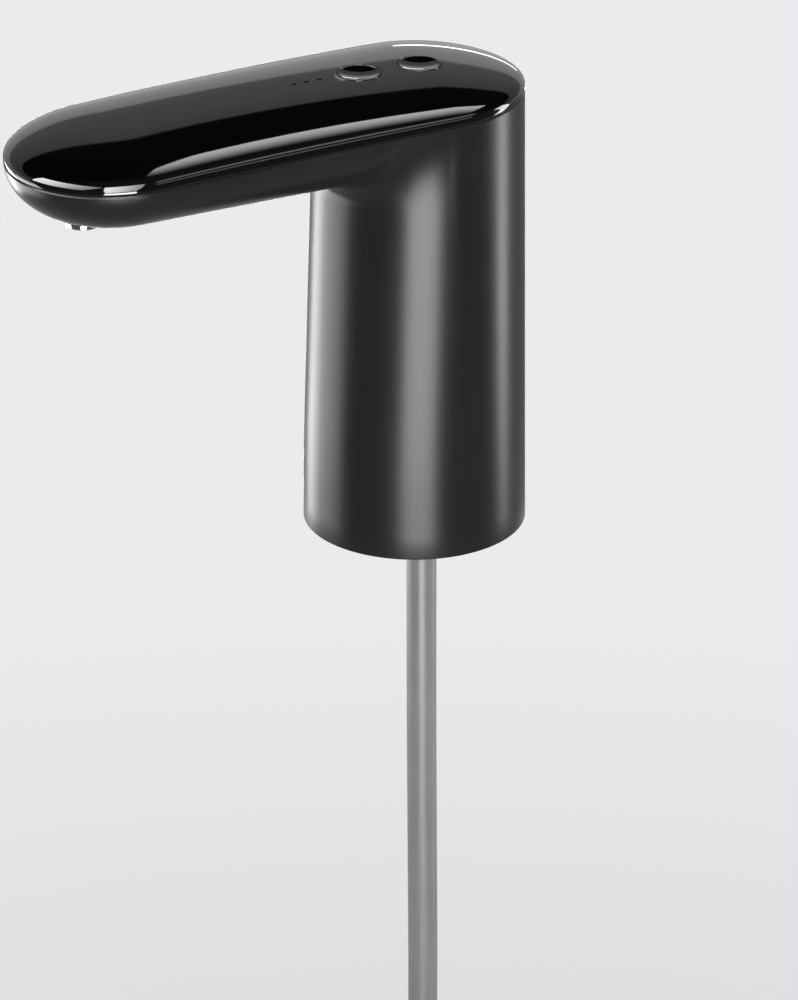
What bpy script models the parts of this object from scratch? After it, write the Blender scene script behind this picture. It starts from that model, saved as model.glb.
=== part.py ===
"""Electric pump that pushes onto the neck of a large water bottle.

Metres, +Z up. The origin is on the column's axis at the seat that rests on the bottle neck.
The arm reaches towards -X, and the charging port is at +X.
"""
import math

import bmesh
import bpy
from mathutils import Matrix, Vector

# Driving dimensions
neck_radius = 0.0275
neck_overlap = 0.022
gasket_squeeze = 0.0001
gasket_wall = 0.0007
skirt_wall = 0.0014
cup_clearance = 0.0008
shell_wall = 0.0022
cover_wall = 0.0018
gap = 0.0003
overrun = 0.002
weld_distance = 0.000001
column_taper = 0.0012
head_reach = 0.094
parting_fall_share = 0.0335
front_lean = 0.0026
section_power = 2.4
hull_depth = 0.0201
hull_tip_depth = 0.0173
crown_back_height = 0.0044
crown_tip_height = 0.0059
crown_arch = 0.0034

# The column's foot is as wide as the neck with the gasket, the cup's skirt and the shell round it
rim_radius = neck_radius + gasket_squeeze + gasket_wall + gap + skirt_wall + cup_clearance + shell_wall
head_radius = rim_radius - column_taper
column_inner = head_radius - shell_wall

# Facets round the wide pieces, the middling ones, the small ones, and holes and screws
wide_steps = 36
round_steps = 24
small_steps = 14
hole_steps = 8

PARTS = None
CUTTERS = None


def start_scene():
    """Empty the scene and make one collection for the pieces and one for the cutters."""
    for item in list(bpy.data.objects):
        bpy.data.objects.remove(item)
    parts = bpy.data.collections.new("bottle_pump")
    cutters = bpy.data.collections.new("cutters")
    bpy.context.scene.collection.children.link(parts)
    bpy.context.scene.collection.children.link(cutters)
    return parts, cutters


def finish(name, colour, roughness, metallic=0.0, alpha=1.0):
    """A plain material with the piece's colour."""
    material = bpy.data.materials.new(name)
    material.use_nodes = True
    shader = material.node_tree.nodes["Principled BSDF"]
    shader.inputs["Base Color"].default_value = (*colour, 1.0)
    shader.inputs["Roughness"].default_value = roughness
    shader.inputs["Metallic"].default_value = metallic
    shader.inputs["Alpha"].default_value = alpha
    return material


def add_object(name, mesh, look):
    """Put a mesh in the parts collection under a piece's name."""
    piece = bpy.data.objects.new(name, mesh)
    PARTS.objects.link(piece)
    if look:
        mesh.materials.append(look)
    return piece


def object_from(bm, name, look):
    """Turn a bmesh into a piece, shaded smooth except over its sharp edges."""
    mesh = bpy.data.meshes.new(name)
    bm.to_mesh(mesh)
    bm.free()
    mesh.shade_smooth()
    mesh.set_sharp_from_angle(angle=math.radians(32))
    return add_object(name, mesh, look)


def combine(target, tool, operation="DIFFERENCE"):
    """Cut a tool from the target or join it on, and put the tool with the cutters."""
    PARTS.objects.unlink(tool)
    CUTTERS.objects.link(tool)
    tool.hide_render = True
    tool.display_type = "WIRE"
    modifier = target.modifiers.new(operation.lower(), "BOOLEAN")
    modifier.operation = operation
    modifier.solver = "EXACT"
    modifier.object = tool


def hang(pieces, name, place):
    """Parent pieces to an empty on the axis that they turn about, where they are."""
    pivot = bpy.data.objects.new(name, None)
    pivot.location = place
    bpy.context.scene.collection.objects.link(pivot)
    bpy.context.view_layer.update()
    for piece in pieces:
        piece.parent = pivot
        piece.matrix_parent_inverse = pivot.matrix_world.inverted()


def turned(name, look, profile, place=(0, 0), steps=round_steps):
    """A turned piece about the vertical through place.

    The profile is (radius, height) points that run down the outer side. One that starts off
    the axis is a ring, and its last point joins its first.
    """
    links = [(i, i + 1) for i in range(len(profile) - 1)]
    if profile[0][0] > 0:
        links.append((len(profile) - 1, 0))
    mesh = bpy.data.meshes.new(name)
    mesh.from_pydata([(radius, 0, height) for radius, height in profile], links, [])
    piece = add_object(name, mesh, look)
    piece.location = (place[0], place[1], 0)
    screw = piece.modifiers.new("turn", "SCREW")
    screw.steps = steps
    screw.render_steps = steps
    screw.use_merge_vertices = True
    screw.merge_threshold = weld_distance
    return piece


def disc(name, look, radius, low, high, place=(0, 0), steps=round_steps):
    """A plain upright cylinder."""
    return turned(name, look, [(0, high), (radius, high), (radius, low), (0, low)], place, steps)


def washer(name, look, inner, outer, low, high, place=(0, 0), steps=round_steps):
    """An upright ring with a bore."""
    profile = [(inner, high), (outer, high), (outer, low), (inner, low)]
    return turned(name, look, profile, place, steps)


def rod(name, look, radius, start, end, steps=small_steps):
    """A round bar between two points."""
    start = Vector(start)
    end = Vector(end)
    line = end - start
    bm = bmesh.new()
    turn = line.to_track_quat("Z", "Y").to_matrix().to_4x4()
    bmesh.ops.create_cone(bm, cap_ends=True, segments=steps, radius1=radius, radius2=radius,
                          depth=line.length, matrix=Matrix.Translation((start + end) / 2) @ turn)
    return object_from(bm, name, look)


def block(name, look, low, high, bevel=0, turn=0):
    """A box between two corners, turned about the vertical through the origin."""
    low = Vector(low)
    high = Vector(high)
    size = high - low
    bm = bmesh.new()
    place = Matrix.Rotation(turn, 4, "Z") @ Matrix.Translation((low + high) / 2)
    bmesh.ops.create_cube(bm, size=1, matrix=place @ Matrix.Diagonal((*size, 1)))
    piece = object_from(bm, name, look)
    if bevel:
        modifier = piece.modifiers.new("edges", "BEVEL")
        modifier.width = bevel
        modifier.segments = 2
    return piece


def smooth_path(points, spacing):
    """Evenly spaced points along a smooth curve through a route's own points."""
    route = [Vector(point) for point in points]
    route = [2 * route[0] - route[1]] + route + [2 * route[-1] - route[-2]]
    dense = []
    for i in range(1, len(route) - 2):
        before, start, end, after = route[i - 1:i + 3]
        for k in range(16):
            t = k / 16
            bend = 2 * before - 5 * start + 4 * end - after
            twist = 3 * start - before - 3 * end + after
            dense.append((2 * start + (end - before) * t + bend * t * t + twist * t ** 3) / 2)
    dense.append(route[-2])
    return resample(dense, spacing)


def resample(dense, spacing):
    """Points at equal steps along a polyline, both ends kept."""
    lengths = [0]
    for i in range(1, len(dense)):
        lengths.append(lengths[-1] + (dense[i] - dense[i - 1]).length)
    count = max(2, round(lengths[-1] / spacing))
    result = []
    at = 0
    for k in range(count + 1):
        want = lengths[-1] * k / count
        while at < len(dense) - 2 and lengths[at + 1] < want:
            at += 1
        share = (want - lengths[at]) / (lengths[at + 1] - lengths[at])
        result.append(dense[at].lerp(dense[at + 1], min(max(share, 0), 1)))
    return result


def tube(name, look, path, radius, wall=0, smoothness=2):
    """A round cord along a path, or a hose with open ends where it has a wall."""
    curve = bpy.data.curves.new(name, "CURVE")
    curve.dimensions = "3D"
    curve.bevel_depth = radius
    curve.bevel_resolution = smoothness
    curve.use_fill_caps = wall == 0
    spline = curve.splines.new("POLY")
    spline.points.add(len(path) - 1)
    for point, place in zip(spline.points, path):
        point.co = (*place, 1)
    if wall == 0:
        curve.materials.append(look)
        piece = bpy.data.objects.new(name, curve)
        PARTS.objects.link(piece)
        return piece
    guide = bpy.data.objects.new(name + "_line", curve)
    bpy.context.scene.collection.objects.link(guide)
    bpy.context.view_layer.update()
    graph = bpy.context.evaluated_depsgraph_get()
    mesh = bpy.data.meshes.new_from_object(guide.evaluated_get(graph))
    bpy.data.objects.remove(guide)
    mesh.name = name
    piece = add_object(name, mesh, look)
    solid = piece.modifiers.new("wall", "SOLIDIFY")
    solid.thickness = wall
    solid.offset = -1
    return piece


def ring_solid(name, look, rings):
    """Faces between rings of points, each seen from above going anticlockwise, in order down."""
    bm = bmesh.new()
    rows = [[bm.verts.new(point) for point in ring] for ring in rings]
    count = len(rings[0])
    for upper, lower in zip(rows, rows[1:]):
        for j in range(count):
            k = (j + 1) % count
            bm.faces.new((upper[j], lower[j], lower[k], upper[k]))
    bmesh.ops.remove_doubles(bm, verts=bm.verts, dist=weld_distance)
    return object_from(bm, name, look)


# The head's stadium outline, its sloping parting plane, and the surfaces above and below it
tip_steps = 12
side_steps = 8
side_step_power = 1.35
back_steps = 14


def head_stations():
    """Spine place and outward direction of each point of the outline, going anticlockwise.

    Those of the straight sides lie closer together at the column, which they also shape.
    """
    side_places = [-head_reach * (i / side_steps) ** side_step_power for i in range(side_steps + 1)]
    stations = []
    for i in range(back_steps):
        angle = math.pi * (i / back_steps - 0.5)
        stations.append((0, math.cos(angle), math.sin(angle)))
    for i in range(side_steps):
        stations.append((side_places[i], 0, 1))
    for i in range(tip_steps):
        angle = math.pi * (i / tip_steps + 0.5)
        stations.append((-head_reach, math.cos(angle), math.sin(angle)))
    for i in range(side_steps, 0, -1):
        stations.append((side_places[i], 0, -1))
    return stations


def parting_z(x):
    return parting_height + parting_fall_share * x


def spine_share(x, y):
    """Distance from the spine as a share of the head's half width."""
    nearest = min(max(x, -head_reach), 0)
    return min(math.hypot(x - nearest, y) / head_radius, 1)


def section_share(x, y):
    """Height of the rounded cross section at a place, as a share of its height on the spine."""
    return math.sqrt(1 - spine_share(x, y) ** section_power)


def hull_z(x, y):
    """Underside of the arm."""
    along = min(max(-x / head_reach, 0), 1)
    depth = hull_depth + (hull_tip_depth - hull_depth) * along
    return parting_z(x) - depth * section_share(x, y)


def cover_z(x, y):
    """Top of the cover, which also arches a little from its back end to its tip."""
    along = (head_radius - x) / (head_reach + 2 * head_radius)
    crown = crown_back_height + (crown_tip_height - crown_back_height) * along
    crown += 4 * crown_arch * along * (1 - along)
    return parting_z(x) + gap + cover_edge + crown * section_share(x, y)


def column_radius(z, forward=0):
    """The column's radius at a height. Its front, where forward is 1, leans in above the base."""
    share = (z + neck_overlap) / (parting_height + neck_overlap)
    lean = max(z - base_top, 0) / (parting_height - base_top)
    return rim_radius + (head_radius - rim_radius) * share - front_lean * lean * max(forward, 0)


# Housing: the column and the arm's hull, one moulded shell that is open at the top and the foot
arm_fillet = 0.005
side_blend = 0.018
turn_weight = 0.012
hull_rows = 13
fillet_steps = 10
hull_samples = 40
column_rows = 2
boss_width = 0.0062
boss_inset = 0.0078
boss_height = 0.012
base_screw_inset = 0.0056
base_screw_circle = rim_radius - shell_wall - base_screw_inset
base_screw_angles = (0.35, 2.13, 4.94)
pilot_radius = 0.001
spout_inset = 0.0213
spout_reach = head_reach + head_radius - spout_inset
spout_boss_radius = 0.0062
spout_boss_drop = 0.0008
spout_boss_height = 0.0052
spout_hole_radius = 0.0043
port_height = 0.048
port_mouth_width = 0.0096
port_mouth_height = 0.0040
port_recess_width = 0.0150
port_recess_height = 0.0090
port_recess_depth = 0.0012


def meridian(edge):
    """Outer surface from a parting point, in under the arm and down the column to the rim."""
    reach = edge.length
    side = edge / reach

    def under(radius):
        return hull_z(side.x * radius, side.y * radius)

    def column(height):
        return Vector((column_radius(height, -side.x), height))

    profile = [Vector((reach, parting_z(edge.x)))]
    if reach > column(parting_z(edge.x)).x + gap:
        low = head_radius / 2
        high = reach
        for _ in range(hull_samples):
            corner = (low + high) / 2
            if corner < column(under(corner)).x:
                low = corner
            else:
                high = corner
        for i in range(1, hull_samples + 1):
            radius = reach - (reach - corner) * (1 - math.cos(math.pi / 2 * i / hull_samples))
            profile.append(Vector((radius, under(radius))))
        nearness = (head_radius / reach) ** 2
        blend = arm_fillet + (side_blend - arm_fillet) * nearness
        profile = round_corner(profile, blend, column(profile[-1].y - blend))
    split = column(parting_height - hull_depth - side_blend)
    profile.append(split)
    points = spread(profile, hull_rows)
    for i in range(1, column_rows + 1):
        points.append(column(split.y + (-neck_overlap - split.y) * i / column_rows))
    points.insert(0, Vector((reach, parting_z(edge.x) + overrun)))
    return [Vector((side.x * point.x, side.y * point.x, point.y)) for point in points]


def round_corner(profile, size, end):
    """Replace the corner at the end of the hull line by a fillet that runs into the column."""
    corner = profile[-1]
    kept = list(profile)
    left = size
    while len(kept) > 1 and (kept[-1] - kept[-2]).length < left:
        left -= (kept[-1] - kept[-2]).length
        kept.pop()
    start = kept.pop()
    if kept:
        start = start.lerp(kept[-1], left / (start - kept[-1]).length)
    for i in range(fillet_steps + 1):
        t = i / fillet_steps
        kept.append(start * (1 - t) ** 2 + corner * 2 * t * (1 - t) + end * t * t)
    return kept


def spread(profile, rows):
    """Points along a profile, closer where it turns."""
    weight = [0]
    for i in range(1, len(profile)):
        step = profile[i] - profile[i - 1]
        turn = 0
        if i > 1 and step.length > 0 and (profile[i - 1] - profile[i - 2]).length > 0:
            turn = step.angle(profile[i - 1] - profile[i - 2])
        weight.append(weight[-1] + step.length + turn_weight * turn)
    result = []
    at = 0
    for k in range(rows + 1):
        want = weight[-1] * k / rows
        while at < len(profile) - 2 and weight[at + 1] < want:
            at += 1
        share = (want - weight[at]) / (weight[at + 1] - weight[at])
        result.append(profile[at].lerp(profile[at + 1], min(max(share, 0), 1)))
    return result


def above_parting_plane():
    """A slab over the parting plane, which trims the shell's upper edge level with it."""
    reach = head_reach + 2 * head_radius
    slab = block("slab", None, (-reach, -rim_radius - overrun, 0), (reach, rim_radius + overrun, reach))
    slab.location = (0, 0, parting_height)
    slab.rotation_euler = (0, -math.atan(parting_fall_share), 0)
    return slab


def around(radius, angle):
    return (radius * math.cos(angle), radius * math.sin(angle))


def make_housing(look):
    edges = [Vector((x + head_radius * ux, head_radius * uy)) for x, ux, uy in head_stations()]
    lines = [meridian(edge) for edge in edges]
    rings = [[line[i] for line in lines] for i in range(len(lines[0]))]
    housing = ring_solid("housing", look, rings)
    wall = housing.modifiers.new("wall", "SOLIDIFY")
    wall.thickness = shell_wall
    wall.offset = -1
    combine(housing, above_parting_plane())
    outer = column_radius(base_top)
    for angle in base_screw_angles:
        low = (outer - shell_wall - boss_inset, -boss_width / 2, base_top + gap)
        high = (outer - shell_wall / 2, boss_width / 2, base_top + gap + boss_height)
        combine(housing, block("boss", None, low, high, turn=angle), "UNION")
        place = around(base_screw_circle, angle)
        hole = disc("pilot", None, pilot_radius + gap, base_top, base_top + boss_height, place,
                    hole_steps)
        combine(housing, hole)
    spout = (-spout_reach, 0)
    boss = disc("spout_boss", None, spout_boss_radius, spout_face, spout_face + spout_boss_height,
                spout, wide_steps)
    combine(housing, boss, "UNION")
    combine(housing, disc("spout_hole", None, spout_hole_radius, spout_face - overrun,
                          spout_face + spout_boss_height + overrun, spout))
    outer = column_radius(port_height)
    combine(housing, block("port_mouth", None,
                           (outer - shell_wall - overrun, -port_mouth_width / 2,
                            port_height - port_mouth_height / 2),
                           (outer + overrun, port_mouth_width / 2,
                            port_height + port_mouth_height / 2)))
    recess = washer("port_recess", None, outer - port_recess_depth, outer + overrun,
                    port_height - port_recess_height / 2, port_height + port_recess_height / 2,
                    steps=64)
    window = block("port_window", None, (0, -port_recess_width / 2, port_height - port_recess_height),
                   (rim_radius + overrun, port_recess_width / 2, port_height + port_recess_height))
    combine(recess, window, "INTERSECT")
    combine(housing, recess)
    return housing


# Top cover: a crowned lid with a locating lip inside the shell, and bosses for the control board
cover_edge = 0.0008
lip_depth = 0.0022
lip_clearance = 0.0012
lip_wall = 0.0012
cover_rows = 5
button_radius = 0.0062
button_places = (0.0014, -0.0178)
light_places = (-0.0304, -0.0344, -0.0384)
light_hole_radius = 0.0006
board_boss_radius = 0.0026
board_boss_places = ((0.0092, 0.0092), (-0.0445, -0.0080))
board_drop = 0.0003
board_thickness = 0.0012


def cover_ring(inset, height):
    """One ring of the cover: an inset from the outline, and a height as a function of place."""
    ring = []
    for x, ux, uy in head_stations():
        px = x + (head_radius - inset) * ux
        py = (head_radius - inset) * uy
        ring.append(Vector((px, py, height(px, py))))
    return ring


def make_cover(look):
    rings = []
    for i in range(cover_rows + 1):
        inset = head_radius * (1 - math.sin(math.pi / 2 * i / cover_rows))
        rings.append(cover_ring(inset, cover_z))
    lip_outer = shell_wall + lip_clearance
    lip_inner = lip_outer + lip_wall
    rings.append(cover_ring(0, lambda x, y: parting_z(x) + gap))
    rings.append(cover_ring(lip_outer, lambda x, y: parting_z(x) + gap))
    rings.append(cover_ring(lip_outer, lambda x, y: parting_z(x) - lip_depth))
    rings.append(cover_ring(lip_inner, lambda x, y: parting_z(x) - lip_depth))
    for i in range(cover_rows):
        share = math.cos(math.pi / 2 * i / cover_rows)
        inset = head_radius - (head_radius - lip_inner) * share
        rings.append(cover_ring(inset, inner_cover_z))
    rings.append(cover_ring(head_radius, inner_cover_z))
    cover = ring_solid("top_cover", look, rings)
    board_top = parting_height - board_drop
    for x, y in board_boss_places:
        top = inner_cover_z(x, y) + cover_wall / 2
        combine(cover, disc("board_boss", None, board_boss_radius, board_top + gap, top, (x, y),
                            small_steps), "UNION")
        combine(cover, disc("board_pilot", None, pilot_radius + gap, board_top, top - cover_wall,
                            (x, y), hole_steps))
    for x in button_places:
        top = cover_z(x, 0)
        combine(cover, disc("button_hole", None, button_radius + gap, board_top + gap, top + overrun,
                            (x, 0)))
    for x in light_places:
        top = cover_z(x, 0)
        combine(cover, disc("light_hole", None, light_hole_radius, top - 2 * cover_wall,
                            top + overrun, (x, 0), hole_steps))
    return cover


def inner_cover_z(x, y):
    """Inside of the cover, measured down from its top."""
    return cover_z(x, y) - cover_wall


# Buttons, with the tact switches under them on the board
button_travel = 0.0006
button_dish = 0.0008
button_lip = 0.0012
button_flange = 0.0008
button_stem_radius = 0.0022
switch_size = 0.006
switch_height = 0.0034
plunger_radius = 0.0017
plunger_height = 0.0009
plunger_root = 0.0008


def make_button(name, x, look):
    top = cover_z(x, 0)
    flange_radius = button_radius + button_lip
    flange_top = min(inner_cover_z(x + flange_radius, 0), inner_cover_z(x, flange_radius)) - gap
    rim = button_radius - button_lip / 2
    profile = [(0, top - button_dish)]
    for i in range(1, 5):
        share = i / 4
        profile.append((rim * share, top - button_dish * (1 - share ** 2)))
    profile.append((button_radius, top - button_lip / 3))
    profile.append((button_radius, flange_top))
    profile.append((flange_radius, flange_top))
    profile.append((flange_radius, flange_top - button_flange))
    profile.append((button_stem_radius, flange_top - button_flange))
    profile.append((button_stem_radius, plunger_top + gap))
    profile.append((0, plunger_top + gap))
    return turned(name, look, profile, (x, 0))


def make_switch(number, x, body_look, plunger_look):
    half = switch_size / 2
    body = block("switch_" + number, body_look, (x - half, -half, board_face + gap),
                 (x + half, half, switch_top), bevel=plunger_root / 4)
    root = switch_top - plunger_root
    combine(body, disc("switch_well", None, plunger_radius + gap, root - button_travel - gap,
                       switch_top + overrun, (x, 0), small_steps))
    disc("switch_plunger_" + number, plunger_look, plunger_radius, root, plunger_top, (x, 0),
         small_steps)


# Base cup: the plate over the bottle neck, the skirt round it, the deck posts and the hose spigot
pad_thickness = 0.0015
base_thickness = 0.0032
skirt_rise = 0.0015
skirt_lip = 0.0009
skirt_lip_height = 0.0013
gasket_lips = 3
inlet_offset = 0.0024
spigot_radius = 0.0026
spigot_bore = 0.0016
spigot_drop = 0.015
spigot_rise = 0.006
collar_radius = 0.0058
collar_height = 0.003
screw_shank = 0.0013
screw_head = 0.0024
screw_head_height = 0.0014
post_radius = 0.003
post_inset = 0.0056
post_circle = column_inner - post_inset
post_angles = (2.62, 5.67)
deck_height = 0.0307
deck_thickness = 0.003


def make_base_cup(look):
    outer = rim_radius - shell_wall - cup_clearance
    inner = outer - skirt_wall
    foot = -neck_overlap + skirt_rise
    plate_low = pad_thickness + gap
    profile = [(0, base_top), (outer, base_top), (outer, foot), (inner - skirt_lip, foot),
               (inner - skirt_lip, foot + skirt_lip_height), (inner, foot + skirt_lip_height),
               (inner, plate_low), (0, plate_low)]
    cup = turned("base_cup", look, profile, steps=wide_steps)
    place = (inlet_offset, 0)
    combine(cup, disc("collar", None, collar_radius, plate_low - collar_height,
                      plate_low + base_thickness / 2, place, small_steps), "UNION")
    combine(cup, disc("spigot", None, spigot_radius, plate_low - spigot_drop,
                      base_top - base_thickness / 2, place, small_steps), "UNION")
    combine(cup, disc("inner_spigot", None, barb_radius, base_top - base_thickness / 2,
                      base_top + spigot_rise, place, small_steps), "UNION")
    combine(cup, disc("spigot_bore", None, spigot_bore, plate_low - spigot_drop - overrun,
                      base_top + spigot_rise + overrun, place, hole_steps))
    for angle in post_angles:
        place = around(post_circle, angle)
        combine(cup, disc("post", None, post_radius, base_top - base_thickness / 2,
                          deck_height - gap, place, small_steps), "UNION")
        combine(cup, disc("post_pilot", None, pilot_radius + gap,
                          deck_height - boss_height, deck_height, place, hole_steps))
    for angle in base_screw_angles:
        place = around(base_screw_circle, angle)
        combine(cup, disc("screw_hole", None, screw_shank + gap, plate_low - overrun,
                          base_top + overrun, place, hole_steps))
        combine(cup, disc("screw_sink", None, screw_head + gap, plate_low - overrun,
                          plate_low + screw_head_height + gap, place, small_steps))
    return cup


def make_screw(name, look, place, seat, length, points_up):
    """A pan-head screw with a cross recess. The head is under the seat where it points up."""
    way = 1 if points_up else -1
    levels = [(0, seat + way * length), (pilot_radius, seat + way * length),
              (pilot_radius, seat), (screw_head, seat),
              (screw_head, seat - way * screw_head_height * 0.6),
              (screw_head * 0.7, seat - way * screw_head_height),
              (0, seat - way * screw_head_height)]
    if not points_up:
        levels.reverse()
    screw = turned(name, look, levels, place, hole_steps)
    face = seat - way * screw_head_height
    for wide, deep in ((screw_head, pilot_radius / 2), (pilot_radius / 2, screw_head)):
        low = (place[0] - wide * 0.6, place[1] - deep * 0.6, face - screw_head_height / 2)
        high = (place[0] + wide * 0.6, place[1] + deep * 0.6, face + screw_head_height / 2)
        combine(screw, block("cross", None, low, high))
    return screw


def make_gasket(look):
    """The ribbed rubber sleeve that grips the neck, held in the skirt by its lower lip."""
    outer = rim_radius - shell_wall - cup_clearance - skirt_wall - gap
    inner = outer - gasket_wall
    lip = neck_radius - gasket_squeeze
    foot = -neck_overlap + skirt_rise + skirt_lip_height + gap
    top = -skirt_lip_height
    pitch = (top - foot) / gasket_lips
    profile = [(inner, top), (outer, top), (outer, foot), (inner, foot)]
    for i in range(gasket_lips):
        start = foot + pitch * i
        profile.append((inner, start + pitch * 0.3))
        profile.append((lip, start + pitch * 0.55))
        profile.append((inner, start + pitch * 0.8))
    return turned("neck_gasket", look, profile, steps=wide_steps)


def make_pad(look):
    inner = neck_radius * 0.74
    return washer("seat_pad", look, inner, neck_radius - gap, 0, pad_thickness,
                  steps=wide_steps)


# Deck: the plate that carries the pump, the battery tray and the charging board
deck_clearance = 0.0007
deck_radius = column_inner - deck_clearance
tube_radius = 0.0035
tube_wall = 0.001
pump_radius = 0.013
battery_radius = 0.0092
tray_wall = 0.0012
tray_radius = battery_radius + gap + tray_wall
pump_clearance = 0.0031
pump_offset = column_inner - pump_clearance - pump_radius
battery_offset = column_inner - gap - tray_radius
barb_offset = 0.0068
barb_radius = 0.0022
barb_bore = 0.0013
barb_length = 0.0065
riser_inset = 0.0091
riser_place = (riser_inset - column_inner, -0.002)
rail_width = 0.0022
rail_height = 0.005
charge_board_inset = 0.0084
charge_board_x = column_inner - charge_board_inset
charge_board_width = 0.016
charge_board_height = 0.026


def make_deck(look):
    deck = disc("deck", look, deck_radius, deck_height, deck_top, steps=wide_steps)
    low = deck_height - overrun
    high = deck_top + overrun
    for y in (-barb_offset, barb_offset):
        combine(deck, disc("barb_hole", None, tube_radius + gap, low, high, (0, y - pump_offset),
                           small_steps))
    combine(deck, disc("riser_hole", None, tube_radius + 2 * gap, low, high, riser_place,
                       small_steps))

    for angle in post_angles:
        combine(deck, disc("deck_hole", None, screw_shank + gap, low, high,
                           around(post_circle, angle), hole_steps))
    for side in (-1, 1):
        middle = side * (charge_board_width / 2 + gap + rail_width / 2 - rail_width)
        for x in (charge_board_x - gap - rail_width, charge_board_x + board_thickness + gap):
            rail = block("rail", None, (x, middle - rail_width / 2, deck_top - deck_thickness / 2),
                         (x + rail_width, middle + rail_width / 2, deck_top + rail_height))
            combine(deck, rail, "UNION")
    return deck


# Pump: a three-chamber diaphragm pump under a brushed motor, from the head upwards
head_thickness = 0.006
valve_thickness = 0.003
valve_sheet_thickness = 0.0008
sheet_thickness = 0.0014
chamber_circle = 0.0062
cup_radius = 0.0041
cup_wall = 0.0011
cup_height = 0.005
drive_height = 0.0205
drive_wall = 0.0014
drive_roof = 0.0025
wobble_tilt = math.radians(7)
wobble_radius = 0.009
wobble_thickness = 0.0018
wobble_hub_radius = 0.0024
wobble_hub_height = 0.0032
pivot_radius = 0.001
crank_radius = 0.0008
eccentric_radius = 0.0046
eccentric_height = 0.006
motor_radius = 0.0122
motor_height = 0.0275
motor_wall = 0.001
motor_boss_radius = 0.0045
shaft_radius = 0.001
bush_radius = 0.0026
bush_height = 0.0028
magnet_thickness = 0.0021
magnet_height = 0.019
magnet_angle = math.radians(132)
rotor_radius = 0.0083
rotor_height = 0.0155
rotor_hub = 0.0042
rotor_slot_radius = 0.0024
commutator_radius = 0.0026
commutator_height = 0.0046
brush_width = 0.0022
cap_height = 0.003
terminal_width = 0.0024
terminal_thickness = 0.0006
terminal_height = 0.0042
pump_screw_circle = 0.0108
pump_screw_angles = (0.35, 2.444, 4.539)
pump_screw_radius = 0.0008
pump_screw_head = 0.0015


def pump_point(radius, angle):
    return (radius * math.cos(angle), -pump_offset + radius * math.sin(angle))


def make_pump_head(look):
    low = deck_top + gap
    head = disc("pump_head", look, pump_radius, low, low + head_thickness, (0, -pump_offset))
    for y in (-barb_offset, barb_offset):
        place = (0, y - pump_offset)
        tip = low - barb_length
        profile = [(0, low + head_thickness / 2), (barb_radius, low + head_thickness / 2),
                   (barb_radius, tip + barb_bore), (barb_radius - gap, tip), (0, tip)]
        combine(head, turned("barb", None, profile, place, small_steps), "UNION")
        combine(head, disc("barb_bore", None, barb_bore, tip - overrun, low + head_thickness + overrun,
                           place, hole_steps))
    bore = pump_screw_radius + gap
    sink = pump_screw_head + gap
    sink_top = low + pump_screw_head + 2 * gap
    high = low + head_thickness + overrun
    for angle in pump_screw_angles:
        profile = [(0, high), (bore, high), (bore, sink_top), (sink, sink_top), (sink, low - overrun),
                   (0, low - overrun)]
        combine(head, turned("pump_screw_hole", None, profile, pump_point(pump_screw_circle, angle),
                             hole_steps))
    return head


def make_valve_plate(look, rubber):
    """The plate between head and chambers, and the rubber flaps that lie on it as one sheet."""
    low = valve_low
    high = low + valve_thickness
    plate = disc("valve_plate", look, pump_radius, low, high, (0, -pump_offset))
    reach = chamber_circle + cup_radius - cup_wall - gap
    combine(plate, disc("valve_seat", None, reach + gap, high - valve_sheet_thickness - gap,
                        high + overrun, (0, -pump_offset)))
    sheet = disc("valve_sheet", rubber, reach, high - valve_sheet_thickness, high,
                 (0, -pump_offset))
    for angle in chamber_angles:
        place = pump_point(chamber_circle, angle)
        combine(plate, disc("valve_hole", None, barb_bore, low - overrun, high + overrun, place,
                            hole_steps))
        for radius, way in ((cup_radius * 0.6, "DIFFERENCE"), (cup_radius * 0.42, "UNION")):
            level = high - valve_sheet_thickness
            combine(sheet, disc("flap", None, radius, level - overrun * (way == "DIFFERENCE"),
                                high + overrun * (way == "DIFFERENCE"), place, small_steps), way)
        x, y = pump_point(chamber_circle + cup_radius * 0.475, angle)
        bm = bmesh.new()
        turn = Matrix.Translation((x, y, high - valve_sheet_thickness / 2))
        turn = turn @ Matrix.Rotation(angle, 4, "Z")
        size = Matrix.Diagonal((cup_radius * 0.32, cup_wall, valve_sheet_thickness * 0.9, 1))
        bmesh.ops.create_cube(bm, size=1, matrix=turn @ size)
        combine(sheet, object_from(bm, "strap", None), "UNION")
    for angle in pump_screw_angles:
        combine(plate, disc("plate_screw_hole", None, pump_screw_radius + gap, low - overrun,
                            high + overrun, pump_point(pump_screw_circle, angle), hole_steps))
    return plate


def make_diaphragm(look):
    """Rubber sheet with three cups, which the wobble plate works up and down."""
    low = sheet_low
    high = low + sheet_thickness
    sheet = disc("diaphragm", look, pump_radius - gap, low, high, (0, -pump_offset))
    for angle in chamber_angles:
        place = pump_point(chamber_circle, angle)
        top = high + cup_height
        profile = [(0, top), (cup_radius * 0.5, top), (cup_radius, top - cup_wall * 1.5),
                   (cup_radius, low + sheet_thickness / 2), (0, low + sheet_thickness / 2)]
        combine(sheet, turned("cup", None, profile, place, small_steps), "UNION")
    combine(sheet, disc("pivot", None, pivot_radius, low + sheet_thickness / 2, pivot_z - gap,
                        (0, -pump_offset), hole_steps), "UNION")
    for angle in chamber_angles:
        place = pump_point(chamber_circle, angle)
        combine(sheet, disc("chamber", None, cup_radius - cup_wall, low - overrun,
                            high + cup_height - 2 * cup_wall, place, small_steps))
    for angle in pump_screw_angles:
        combine(sheet, disc("sheet_screw_hole", None, pump_screw_radius + gap, low - overrun,
                            high + overrun, pump_point(pump_screw_circle, angle), hole_steps))
    return sheet


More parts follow.
